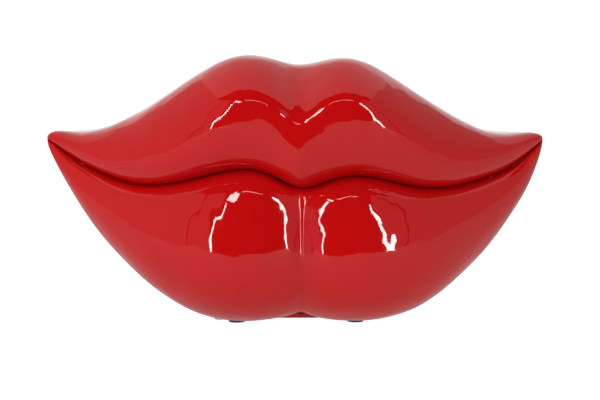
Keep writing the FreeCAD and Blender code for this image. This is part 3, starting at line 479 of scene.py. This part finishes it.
# %% [markdown]
# A section runs through ten or so key points. Quarters of ellipses lay them out between the
# mouth, the front, the crest and the back. Two features are then pressed into them: on the
# upper lip the dip between its two peaks with the keel below it, and on the lower lip the
# valley between its two lobes. Each feature is a list of key points with a depth for each.

# %% Sections of the two lips
DIP_DEPTH, DIP_AT, DIP_WIDTH = 3.6, 0.5, 8.5
DIP_SHARES = ((3, 0.55), (4, 1.0), (5, 0.8), (6, 0.35))
KEEL_AT, KEEL_EDGE, KEEL_LENGTH = 1.0, 1.6, 9.0
KEEL_DEPTHS = ((1, 2.6), (2, 2.0), (3, 0.6))
VALLEY_AT, VALLEY_EDGE = 2.0, 0.6
VALLEY_DEPTHS = ((1, 3.0, 11.0), (2, 6.6, 11.0), (3, 7.2, 10.0), (4, 6.6, 7.5), (5, 4.6, 6.5),
                 (6, 1.6, 6.0))
VALLEY_RISES = ((4, 0.6), (5, 1.8), (6, 1.8))
VALLEY_RISE_LENGTH = 7.0
HEEL_SHARE, REAR_SHARE, WALL_SHARE, KNEE_SHARE = 0.40, 0.74, 0.97, 0.30
BACK_POWER = 0.86


def bump(x, centre, width):
    return exp(-((x - centre) / width) ** 2)


def quarter(centre, reach, degrees, power=1.0):
    """Point of an ellipse quarter whose half axes are the two reaches."""
    angle = radians(degrees)
    across = abs(cos(angle)) ** power
    along = abs(sin(angle)) ** power
    if degrees < 0:
        along = -along
    return [centre[0] + reach[0] * across, centre[1] + reach[1] * along]


def upper_section(t):
    """Key points (y, z) of the upper lip at one place across, from the mouth over the top to the back."""
    x = HALF * sin(t)
    gap = SEAM_GAP
    front = (upper_front_y(t), upper_front_z(t))
    seam = (groove_y(t), mouth_z(t) + gap)
    crest = (crest_y(t), crest_z(t))
    back = (back_y(t), back_z(t) + gap)
    points = []
    for degrees in (-90, -45):
        points.append(quarter((seam[0], front[1]), (front[0] - seam[0], front[1] - seam[1]), degrees))
    for degrees in (0, 30, 60, 90):
        points.append(quarter((crest[0], front[1]), (front[0] - crest[0], crest[1] - front[1]), degrees))
    for degrees in (64, 42, 20, 0):
        points.append(quarter((crest[0], back[1]), (back[0] - crest[0], crest[1] - back[1]), degrees,
                              BACK_POWER))
    # the dip between the two peaks, and the keel that runs down to the mouth
    dip = DIP_DEPTH * bump(x, DIP_AT, DIP_WIDTH)
    for key, share in DIP_SHARES:
        points[key][0] += dip * share
    keel = exp(-(sqrt((x - KEEL_AT) ** 2 + KEEL_EDGE ** 2) - KEEL_EDGE) / KEEL_LENGTH)
    for key, depth in KEEL_DEPTHS:
        points[key][0] -= keel * depth
    return points


def lower_section(t):
    """Key points (y, z) of the lower lip, from the mouth down the front and underneath to the back."""
    x = HALF * sin(t)
    front = (lower_front_y(t), lower_front_z(t))
    seam = (groove_y(t), mouth_z(t))
    back = (back_y(t), back_z(t))
    floor = belly_z(t)
    depth = back[0] - front[0]
    heel = front[0] + HEEL_SHARE * depth
    rear = front[0] + REAR_SHARE * depth
    wall = front[0] + WALL_SHARE * depth
    knee = floor + KNEE_SHARE * (back[1] - floor)
    points = []
    for degrees in (90, 62, 30, 0):
        points.append(quarter((seam[0], front[1]), (front[0] - seam[0], seam[1] - front[1]), degrees))
    for degrees in (-30, -60, -90):
        points.append(quarter((heel, front[1]), (front[0] - heel, front[1] - floor), degrees))
    points.append([rear, floor])
    points.append([rear + (wall - rear) * sin(pi / 4), knee - (knee - floor) * cos(pi / 4)])
    points.append([wall, knee])
    points.append([(wall + back[0]) / 2, (knee + back[1]) / 2])
    points.append([back[0], back[1]])
    # the valley between the two lobes, sharp at its floor and fanning out upwards
    away = sqrt((x - VALLEY_AT) ** 2 + VALLEY_EDGE ** 2) - VALLEY_EDGE
    for key, deep, length in VALLEY_DEPTHS:
        points[key][0] += deep * exp(-away / length)
    for key, rise in VALLEY_RISES:
        points[key][1] += rise * exp(-away / VALLEY_RISE_LENGTH)
    return points


# how far apart the key points stand along each section
UPPER_STEPS = [13, 13, 16, 16, 15, 16, 17, 17, 17]
LOWER_STEPS = [14, 17, 18, 18, 18, 18, 28, 18, 18, 22, 24]


# %% [markdown]
# # The two shells
# Each shell is a moulding 2.4 mm thick with a flat rim 2.6 mm wide where the lips meet.
# One grid makes it: its rows are places across the lip, and its columns run once round
# the section - over the outside, across the back rim, back along the inside and across
# the mouth rim. The corners beyond the face plate stay closed. A Solidify modifier would
# be quicker, but it would fold over itself at the thin corners of the mouth.

# %% Section loops
WALL = 2.4
RIM = 2.6
REACH = 76.4
COLUMNS = 84
ROWS = 300
EDGE = 0.4
LAND_SHARE = 0.3
TINY = 1e-9
FACE_CEILING = 2.2


def line_at(points, y):
    """Height of the parting line at a depth, between the mouth and the back of the section."""
    mouth, back = points[0], points[-1]
    return mouth[1] + (back[1] - mouth[1]) * (y - mouth[0]) / max(back[0] - mouth[0], 1e-6)


def skin(section, steps, t):
    """The outside of a section as many points, mouth first."""
    keys = section(t)
    knots = [0.0]
    for step in steps:
        knots.append(knots[-1] + step)
    depth = spline(knots, [y for y, z in keys])
    height = spline(knots, [z for y, z in keys])
    stations = [knots[-1] * j / COLUMNS for j in range(COLUMNS + 1)]
    return [[depth(k), height(k)] for k in stations]


def inside(points, wall):
    """The skin moved inwards, square to itself."""
    moved = []
    for i, (y, z) in enumerate(points):
        before = points[max(i - 1, 0)]
        after = points[min(i + 1, len(points) - 1)]
        run = (after[0] - before[0], after[1] - before[1])
        length = max(sqrt(run[0] ** 2 + run[1] ** 2), TINY)
        moved.append([y + wall * run[1] / length, z - wall * run[0] / length])
    return moved


def rounded(before, corner, after):
    """Three points that take the sharpness off a corner."""
    ends = []
    for other in (before, after):
        run = (other[0] - corner[0], other[1] - corner[1])
        length = max(sqrt(run[0] ** 2 + run[1] ** 2), TINY)
        reach = min(EDGE, 0.4 * length) / length
        ends.append([corner[0] + run[0] * reach, corner[1] + run[1] * reach])
    middle = [0.2 * (ends[0][i] + ends[1][i]) + 0.6 * corner[i] for i in (0, 1)]
    return [ends[0], middle, ends[1]]


def loop(section, steps, t, is_open, upper):
    """One closed section of a shell."""
    outer = skin(section, steps, t)
    mouth, back = outer[0], outer[-1]
    land = min(RIM, LAND_SHARE * (back[0] - mouth[0]))
    front_y = mouth[0] + land
    rear_y = back[0] - land
    front_land = [front_y, line_at(outer, front_y)]
    rear_land = [rear_y, line_at(outer, rear_y)]

    def level(y):
        if upper:
            return FACE.z + (FACE_CEILING + (y - FACE.y) * sin(TILT)) / cos(TILT)
        return line_at(outer, y) - WALL

    inner = []
    if is_open:
        keep = max if upper else min
        for y, z in inside(outer, WALL if upper else -WALL):
            y = min(y, rear_y)
            inner.append([y, keep(z, level(y))])
        inner = [[front_y, level(front_y)]] + inner + [[rear_y, level(rear_y)]]
    else:
        count = COLUMNS + 2
        for i in range(count + 1):
            y = front_y + (rear_y - front_y) * i / count
            inner.append([y, line_at(outer, y)])
    body_points = rounded(front_land, mouth, outer[1]) + outer[1:-1] + rounded(outer[-2], back, rear_land)
    return body_points + [rear_land] + inner[::-1] + [front_land]


# %% [markdown]
# The rows crowd together at the middle, where a narrow valley and a keel run down the lips,
# and the two corners run out to points.

# %% A shell from a grid
EVEN_SHARE = 0.55
CROWDED_SHARE = 0.45


def across():
    """The rows: how far round, and whether the section is open there."""
    last = pi / 2
    rows = []
    for i in range(ROWS + 1):
        share = -1 + 2 * i / ROWS
        t = last * (EVEN_SHARE * share + CROWDED_SHARE * share ** 3)
        rows.append((t, abs(HALF * sin(t)) < REACH))
    edge = asin(REACH / HALF)
    rows += [(side * edge, state) for side in (-1, 1) for state in (True, False)]
    rows.sort(key=lambda row: (row[0], row[1] == (row[0] > 0)))
    return rows


def shell(name, section, steps, upper, floor):
    """One lip's shell as a closed mesh; nothing of it lies below the floor."""
    loops = []
    for t, is_open in across():
        x = HALF * sin(t)
        points = loop(section, steps, t, is_open, upper)
        points.append(points[0])
        loops.append([(x * MM, y * MM, max(z, floor) * MM) for y, z in points])
    width = len(loops[0])
    bpy.ops.mesh.primitive_grid_add(x_subdivisions=width - 1, y_subdivisions=len(loops) - 1, size=1.0)
    item = named(name)
    flat = [number for points in loops for point in points for number in point]
    if len(item.data.vertices) * 3 != len(flat):
        raise ValueError("the grid and the sections differ in size")
    item.data.vertices.foreach_set("co", flat)
    item.data.update()
    edit(item, lambda: bpy.ops.mesh.remove_doubles(threshold=MERGE),
         lambda: bpy.ops.mesh.dissolve_degenerate(threshold=MERGE / 2),
         lambda: bpy.ops.mesh.normals_make_consistent(inside=False))
    print(name, len(item.data.polygons), "faces before its holes are cut")
    return item


# %% [markdown]
# The handset has one window, at the back, for the socket of its cord. A box cuts it out.

# %% The handset's shell
CORD_WINDOW = ((-29.8, 20.0, 86.8), (-18.2, 50.0, 99.2))
SHELL_EDGE = 32.0
handset = shell("handset_lip", upper_section, UPPER_STEPS, True, 0.0)
cut(handset, box("cord_window", *CORD_WINDOW))
smooth(handset, SHELL_EDGE)
hand_over(handset, "handset", "lip_gloss", lacquer, "handset_shell")

# %% [markdown]
# The base has two socket windows and a switch slot at the back, a ring of sound holes for
# the ringer, and an opening underneath for the bottom plate. All the cutting shapes are
# joined first, so that one Boolean takes them out together.

# %% The base's shell
FLAT_BOTTOM = 0.9
OPENINGS = [("line_window", (15.3, 37.5, 37.8), (28.7, 50.0, 50.2)),
            ("cord_window", (-3.8, 37.5, 37.8), (7.8, 50.0, 50.2)),
            ("switch_slot", (-19.9, 37.5, 42.6), (-12.1, 50.0, 45.4)),
            ("bottom_opening", (-36.3, -8.3, -7.0), (36.3, 23.3, 12.0))]
SOUND_X, SOUND_Y, SOUND_Z = -44.0, 36.0, 50.0
HOLE_RADIUS = 1.1
HOLE_LENGTH = 14.0
HOLE_PITCH = 4.5
HOLE_RINGS = ((0, 1), (1, 6), (2, 12))
base = shell("base_lip", lower_section, LOWER_STEPS, False, FLAT_BOTTOM)
openings = [box(*opening) for opening in OPENINGS]
for ring, count in HOLE_RINGS:
    for i in range(count):
        turn = 2 * pi * (i + 0.25) / count
        hole = rod("sound_hole", HOLE_RADIUS, HOLE_LENGTH, 20)
        hole.rotation_euler = (-pi / 2, 0, 0)
        hole.location = Vector((SOUND_X + HOLE_PITCH * ring * cos(turn), SOUND_Y,
                                SOUND_Z + HOLE_PITCH * ring * sin(turn))) * MM
        openings.append(settle(hole))
cut(base, join("base_openings", openings))
smooth(base, SHELL_EDGE)
hand_over(base, "base", "lip_gloss", lacquer, "base_shell")

# %% [markdown]
# # Plates, sockets and switches
# These are flat mouldings with a small radius on every edge, because no mould has a sharp
# corner. Their CAD parts already have the right shape, so each is copied, cleaned of its
# triangles and given that radius. A Weighted Normal modifier then keeps the large faces
# flat to the eye, so that only the narrow radius catches the light.

# %% Edges rounded on copies of CAD parts
def refined(node, body, slot, radius, degrees):
    """A copy of a CAD part with rounded edges, handed over in its place."""
    item = frame["nodes"][node].copy()
    item.data = item.data.copy()
    bpy.context.scene.collection.objects.link(item)
    item.parent = None
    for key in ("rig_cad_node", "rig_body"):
        del item[key]
    item.name = node + "_look"
    item.data.name = node + "_look"
    edit(item, lambda: bpy.ops.mesh.remove_doubles(threshold=MERGE),
         lambda: bpy.ops.mesh.dissolve_limited(angle_limit=radians(1.0)))
    round_edges(item, radius, 2, degrees=degrees)
    smooth(item, degrees)
    flatten = item.modifiers.new("flat_faces", "WEIGHTED_NORMAL")
    flatten.keep_sharp = True
    finish_modifiers(item)
    return hand_over(item, body, slot, FINISHES[slot], node)


# %% Plates, sockets, sliders, the hook and the feet
ROUNDED = [("handset_face_plate", "handset", "red_satin", 0.15, 30.0),
           ("cradle_deck", "base", "red_satin", 0.30, 30.0),
           ("bottom_plate", "base", "red_satin", 0.25, 30.0),
           ("line_jack", "base", "black_plastic", 0.12, 30.0),
           ("handset_jack", "base", "black_plastic", 0.12, 30.0),
           ("handset_cord_jack", "handset", "black_plastic", 0.12, 30.0),
           ("hook_plunger", "hook", "black_plastic", 0.12, 40.0),
           ("ringer_switch_slider", "ringer_slider", "black_plastic", 0.15, 30.0),
           ("tone_pulse_slider", "tone_slider", "black_plastic", 0.15, 30.0),
           ("rubber_feet", "base", "rubber", 0.3, 40.0)]
for row in ROUNDED:
    refined(*row)

# %% [markdown]
# # Socket contacts
# Each modular socket has a row of fine gilt wires that slope down through it. They are
# straight where they show, so thin cylinders do, six in the line socket and four in each
# cord socket. Each row is joined into one piece.

# %% Contact wires
WIRE_RADIUS = 0.19
WIRE_LENGTH = 9.6
WIRE_PITCH = 1.02
WIRE_SLOPE = radians(-60.0)
WIRE_BACK = 12.2
WIRE_DROP = 2.4


def contacts(name, body, x, face_y, z, count):
    """A socket's wires; x and z are the socket's middle, face_y is its front face."""
    wires = []
    for i in range(count):
        wire = rod("wire", WIRE_RADIUS, WIRE_LENGTH, 10)
        wire.rotation_euler = (WIRE_SLOPE, 0, 0)
        wire.location = Vector((x + (i - (count - 1) / 2) * WIRE_PITCH, face_y - WIRE_BACK,
                                z - WIRE_DROP)) * MM
        wires.append(settle(wire))
    hand_over(smooth(join(name, wires)), body, "brass", brass)


contacts("line_contacts", "base", 22.0, 41.2, 44.0, 6)
contacts("base_cord_contacts", "base", 2.0, 41.2, 44.0, 4)
contacts("handset_cord_contacts", "handset", -24.0, 38.2, 93.0, 4)

# %% [markdown]
# # Keys
# The keys are small ivory caps with a shallow dish, and a flange behind the face plate
# keeps each one in its window. One key is modelled and copied fifteen times: a box whose
# four upright edges are rounded. Its outer face is then inset five times, first outwards for
# a soft rim and then back in for the dish. The insets together stay narrower than the
# corner radius, because wider ones would fold over each other at the corners.

# %% One key
KEY_LENGTH = 8.0
KEY_WIDTH = 10.0
KEY_RISE = 2.2
KEY_BACK = 2.5
KEY_CORNER = 1.7
KEY_RIM = 0.3
CAP_STEPS = [(0.12, 0.18), (0.22, 0.10), (0.30, 0.02), (0.35, -0.08), (0.40, -0.05)]
DISH = 0.13
FLANGE = ((-4.8, -5.8, 2.15), (4.8, 5.8, 2.95))


def key_model():
    """A key in the face plate's own frame, at the middle of its window."""
    cap = box("cap", (-KEY_LENGTH / 2, -KEY_WIDTH / 2, KEY_RIM - KEY_RISE),
              (KEY_LENGTH / 2, KEY_WIDTH / 2, KEY_BACK))
    weights = cap.data.attributes.new("bevel_weight_edge", "FLOAT", "EDGE")
    for i, side in enumerate(cap.data.edges):
        ends = [cap.data.vertices[v].co for v in side.vertices]
        weights.data[i].value = 1.0 if abs(ends[0].z - ends[1].z) > MM else 0.0
    round_edges(cap, KEY_CORNER, 6, "WEIGHT")
    for group in (cap.data.vertices, cap.data.edges, cap.data.polygons):
        group.foreach_set("select", [False] * len(group))
    for face in cap.data.polygons:
        face.select = face.normal.z < -0.9
    choose(cap)
    bpy.ops.object.mode_set(mode="EDIT")
    bpy.ops.mesh.select_mode(type="FACE")
    for inwards, outwards in CAP_STEPS:
        bpy.ops.mesh.inset(thickness=inwards * MM, depth=outwards * MM)
    bpy.ops.object.mode_set(mode="OBJECT")
    return smooth(join("key_model", [cap, box("flange", *FLANGE)]), 50.0)


key_model_object = key_model()
print("a key has", len(key_model_object.data.polygons), "faces")

# %% [markdown]
# The figures are printed on the caps. With the earpiece up, the rows read from left to
# right and from the earpiece down, as on any telephone. Text objects make them, with a
# thickness of a few hundredths of a millimetre so that the ink lies on the cap, and each
# one is made a mesh before it is put in its place.

# %% Fifteen keys
ROW_PITCH = 13.0
COLUMN_PITCH = 15.0
FIGURE_SIZE = 4.6
LETTER_SIZE = 3.2
INK_THICK = 0.03
LABELS = [["1", "2", "3"], ["4", "5", "6"], ["7", "8", "9"], ["*", "0", "#"], ["R", "F", "M"]]
NAMES = [["key_1", "key_2", "key_3"], ["key_4", "key_5", "key_6"], ["key_7", "key_8", "key_9"],
         ["key_star", "key_0", "key_hash"], ["key_redial", "key_flash", "key_mute"]]
tilted = Matrix.Rotation(TILT, 4, "X")
reading = Matrix((-SLOPE, Vector((-1, 0, 0)), -NORMAL)).transposed().to_4x4()
for row in range(5):
    for column in range(3):
        x = (row - 2) * ROW_PITCH
        v = (1 - column) * COLUMN_PITCH
        name = NAMES[row][column]
        cap = copied(key_model_object, name + "_cap", Matrix.Translation(on_face(x, v, 0)) @ tilted)
        hand_over(cap, name + "_body", "key_cap", ivory, name)
        bpy.ops.object.text_add(location=(0, 0, 0))
        figure = bpy.context.object
        figure.data.body = LABELS[row][column]
        figure.data.size = (FIGURE_SIZE if row < 4 else LETTER_SIZE) * MM
        figure.data.align_x = "CENTER"
        figure.data.align_y = "CENTER"
        figure.data.extrude = INK_THICK * MM
        choose(figure)
        bpy.ops.object.convert(target="MESH")
        figure = named(name + "_figure")
        figure.data.transform(Matrix.Translation(on_face(x, v, DISH - KEY_RISE)) @ reading)
        figure.matrix_world = Matrix.Identity(4)
        hand_over(figure, name + "_body", "black_plastic", ink)
bpy.data.objects.remove(key_model_object)

# %% [markdown]
# # Screws
# Small zinc-plated screws with domed heads and a cross recess hold the plates. A head is a
# short cylinder with rounded edges, and two crossed boxes cut the recess. The thread sits
# in a boss where it can't be seen, so a plain shank does. Each group of screws is copied
# from one model and joined.

# %% Screws
HEAD_RADIUS = 2.4
HEAD_EDGE = 0.45
SHANK_RADIUS = 1.19
RECESS_ARMS = ((1.3, 0.28), (0.28, 1.3))
RECESS_TOP = 0.45


def screw_model(head_thick, length):
    """A screw that points up, its head's underside at zero."""
    head = rod("head", HEAD_RADIUS, head_thick)
    head.data.transform(Matrix.Translation((0, 0, -head_thick * MM)))
    round_edges(head, HEAD_EDGE, 3)
    for half_x, half_y in RECESS_ARMS:
        cut(head, box("arm", (-half_x, -half_y, -head_thick - 1),
                      (half_x, half_y, -RECESS_TOP * head_thick)))
    shank = rod("shank", SHANK_RADIUS, length, 20)
    return smooth(join("screw", [head, shank]), 40.0)


def screws(name, body, model, places, *nodes):
    """Copies of a screw at each matrix, as one piece. The model itself goes."""
    parts = [copied(model, "part", place) for place in places]
    bpy.data.objects.remove(model)
    item = join(name, parts)
    return hand_over(item, body, "steel", zinc, *nodes)


# %% [markdown]
# Six screws hold the face plate from below and five hold the deck from above. Both plates
# are tilted, so those screws are placed in the face plate's own frame. Four more hold the
# bottom plate and stand upright.

# %% Groups of screws
PLATE_SEAT = 1.2
DECK_SEAT = -7.2
DECK_DROP = 6.0
BOTTOM_SEAT = 2.2
HANDSET_SCREWS = [(71.5, 7.0), (-71.5, 7.0), (34.0, 28.6), (-34.0, 28.6), (40.0, -22.5), (-40.0, -22.5)]
DECK_SCREWS = [(66.0, 26.0), (-66.0, 26.0), (56.0, -6.0), (-56.0, -6.0), (0.0, -19.0)]
BOTTOM_SCREWS = [(side * 33.4, 7.5 + end * 12.5) for side in (-1, 1) for end in (-1, 1)]
places = [Matrix.Translation(on_face(x, v, PLATE_SEAT)) @ tilted for x, v in HANDSET_SCREWS]
screws("handset_screw_set", "handset", screw_model(1.2, 8.2), places, "handset_screws")
over = Matrix.Rotation(pi, 4, "X")
places = []
for x, y in DECK_SCREWS:
    v = (y - FACE.y - DECK_DROP * sin(TILT)) / cos(TILT)
    places.append(Matrix.Translation(on_face(x, v, DECK_SEAT)) @ tilted @ over)
screws("deck_screw_set", "base", screw_model(1.2, 8.0), places, "deck_screws")
places = [Matrix.Translation(Vector((x, y, BOTTOM_SEAT)) * MM) for x, y in BOTTOM_SCREWS]
screws("bottom_screw_set", "base", screw_model(0.96, 8.3), places, "bottom_screws")

# %% [markdown]
# # Studio
# The telephone stands on a pale floor in a white tent. A glossy thing shows its
# surroundings more than its own colour, so what the lacquer mirrors is set apart from what
# the camera sees. The camera sees a white floor and a white dome. The lacquer sees the
# lamps of the tent, a dark open front, and a pale grey table that lights it from below.

# %% Floor and backdrop
WHITE = (1.0, 1.0, 1.0)
TABLE_GREY = (0.34, 0.33, 0.33)
UNMIRRORED = {"visible_glossy": False, "visible_diffuse": False, "visible_shadow": False}
UNSEEN = {"visible_camera": False, "visible_diffuse": False, "visible_shadow": False}
STUDIO_RADIUS = 2.4


def card(name, make, colour, glow, sees):
    """A flat or round stage piece with a plain material that glows."""
    finish = plain(name, colour, 0.8, 3.0, spread=0.01)
    finish.shader.inputs["Emission Color"].default_value = (*colour, 1.0)
    finish.shader.inputs["Emission Strength"].default_value = glow
    item = make()
    item.name = name
    item.data.materials.append(finish.material)
    for key, value in sees.items():
        setattr(item, key, value)
    print(name, "is on the stage")


def floor_disc():
    bpy.ops.mesh.primitive_circle_add(vertices=96, radius=STUDIO_RADIUS, fill_type="NGON")
    return bpy.context.object


def dome():
    bpy.ops.mesh.primitive_uv_sphere_add(segments=48, ring_count=24, radius=STUDIO_RADIUS)
    return bpy.context.object


def table():
    bpy.ops.mesh.primitive_plane_add(size=1.3, location=(0, 0.1, -0.0005))
    return bpy.context.object


card("floor", floor_disc, WHITE, 1.0, UNMIRRORED)
card("backdrop", dome, WHITE, 1.0, UNMIRRORED)
card("table_sheen", table, TABLE_GREY, 0.95, UNSEEN)

# %% [markdown]
# Every lamp is a flat panel. The energy a panel needs for a given brightness grows with its
# area, so the brightness is stated instead, as for a sheet of paper. Large faint panels are
# the ceiling and the walls of the tent. Two narrow bright strips at the edges of its open
# front give the crisp upright highlights on the lobes, and one strip above gives those on
# the upper lip. Three soft fills only brighten the colour: the lacquer doesn't mirror them.

# %% Lights
def light(name, place, aim, size, glow, colour=WHITE, lean=0.0, mirrored=True):
    """A rectangular light; glow is how bright its surface looks, lean turns it in its own plane."""
    lamp = bpy.data.lights.new(name, "AREA")
    lamp.shape = "RECTANGLE"
    lamp.size, lamp.size_y = size
    lamp.color = colour
    lamp.energy = glow * pi * size[0] * size[1]
    item = bpy.data.objects.new(name, lamp)
    item.location = place
    item.rotation_mode = "QUATERNION"
    item.rotation_quaternion = Vector(aim).to_track_quat("-Z", "Y") @ Quaternion((0, 0, 1), radians(lean))
    item.visible_camera = False
    item.visible_glossy = mirrored
    bpy.context.scene.collection.objects.link(item)


WARM = (1.0, 0.95, 0.93)
light("ceiling", (0, 0.24, 0.70), (0, 0, -1), (1.24, 0.92), 0.72)
light("left_side", (-0.62, 0.14, 0.35), (1, 0, 0), (1.12, 0.70), 0.42)
light("right_side", (0.62, 0.14, 0.35), (-1, 0, 0), (1.12, 0.70), 0.36)
light("left_front", (-0.52, -0.50, 0.35), (0.52, 0.46, 0), (0.20, 0.70), 0.38)
light("right_front", (0.52, -0.50, 0.35), (-0.52, 0.46, 0), (0.20, 0.70), 0.33)
light("top_strip", (0, -0.54, 0.50), (0, 0.5, -0.44), (0.34, 0.012), 12.0, WARM)
light("rear_side", (0, 0.70, 0.35), (0, -1, 0), (1.24, 0.70), 0.95)
light("left_strip", (-0.38, -0.57, 0.23), (0.38, 0.53, 0), (0.026, 0.46), 26.0, WARM, lean=-10.0)
light("right_strip", (0.42, -0.55, 0.23), (-0.42, 0.51, 0), (0.036, 0.50), 26.0, WARM, lean=16.0)
light("left_lamp", (-0.24, -0.50, 0.44), (0.24, 0.46, -0.36), (0.10, 0.05), 18.0, WARM, lean=-25.0)
light("fill", (-0.62, -0.62, 0.42), (0.62, 0.58, -0.36), (0.9, 0.6), 1.05, mirrored=False)
light("left_fill", (-0.75, -0.15, 0.20), (0.75, 0.10, -0.10), (0.7, 0.5), 0.95, mirrored=False)
light("bounce", (-0.22, -0.20, -0.002), (0, 0, 1), (1.1, 0.9), 0.66, mirrored=False)

# %% [markdown]
# The room outside the tent is almost black. It shows in the lacquer as the dark patches
# between the strips.

# %% The dark room
ROOM = 0.015
world = bpy.data.worlds.new("room")
world.use_nodes = True
world.node_tree.nodes["Background"].inputs[0].default_value = (ROOM, ROOM, ROOM, 1.0)
bpy.context.scene.world = world
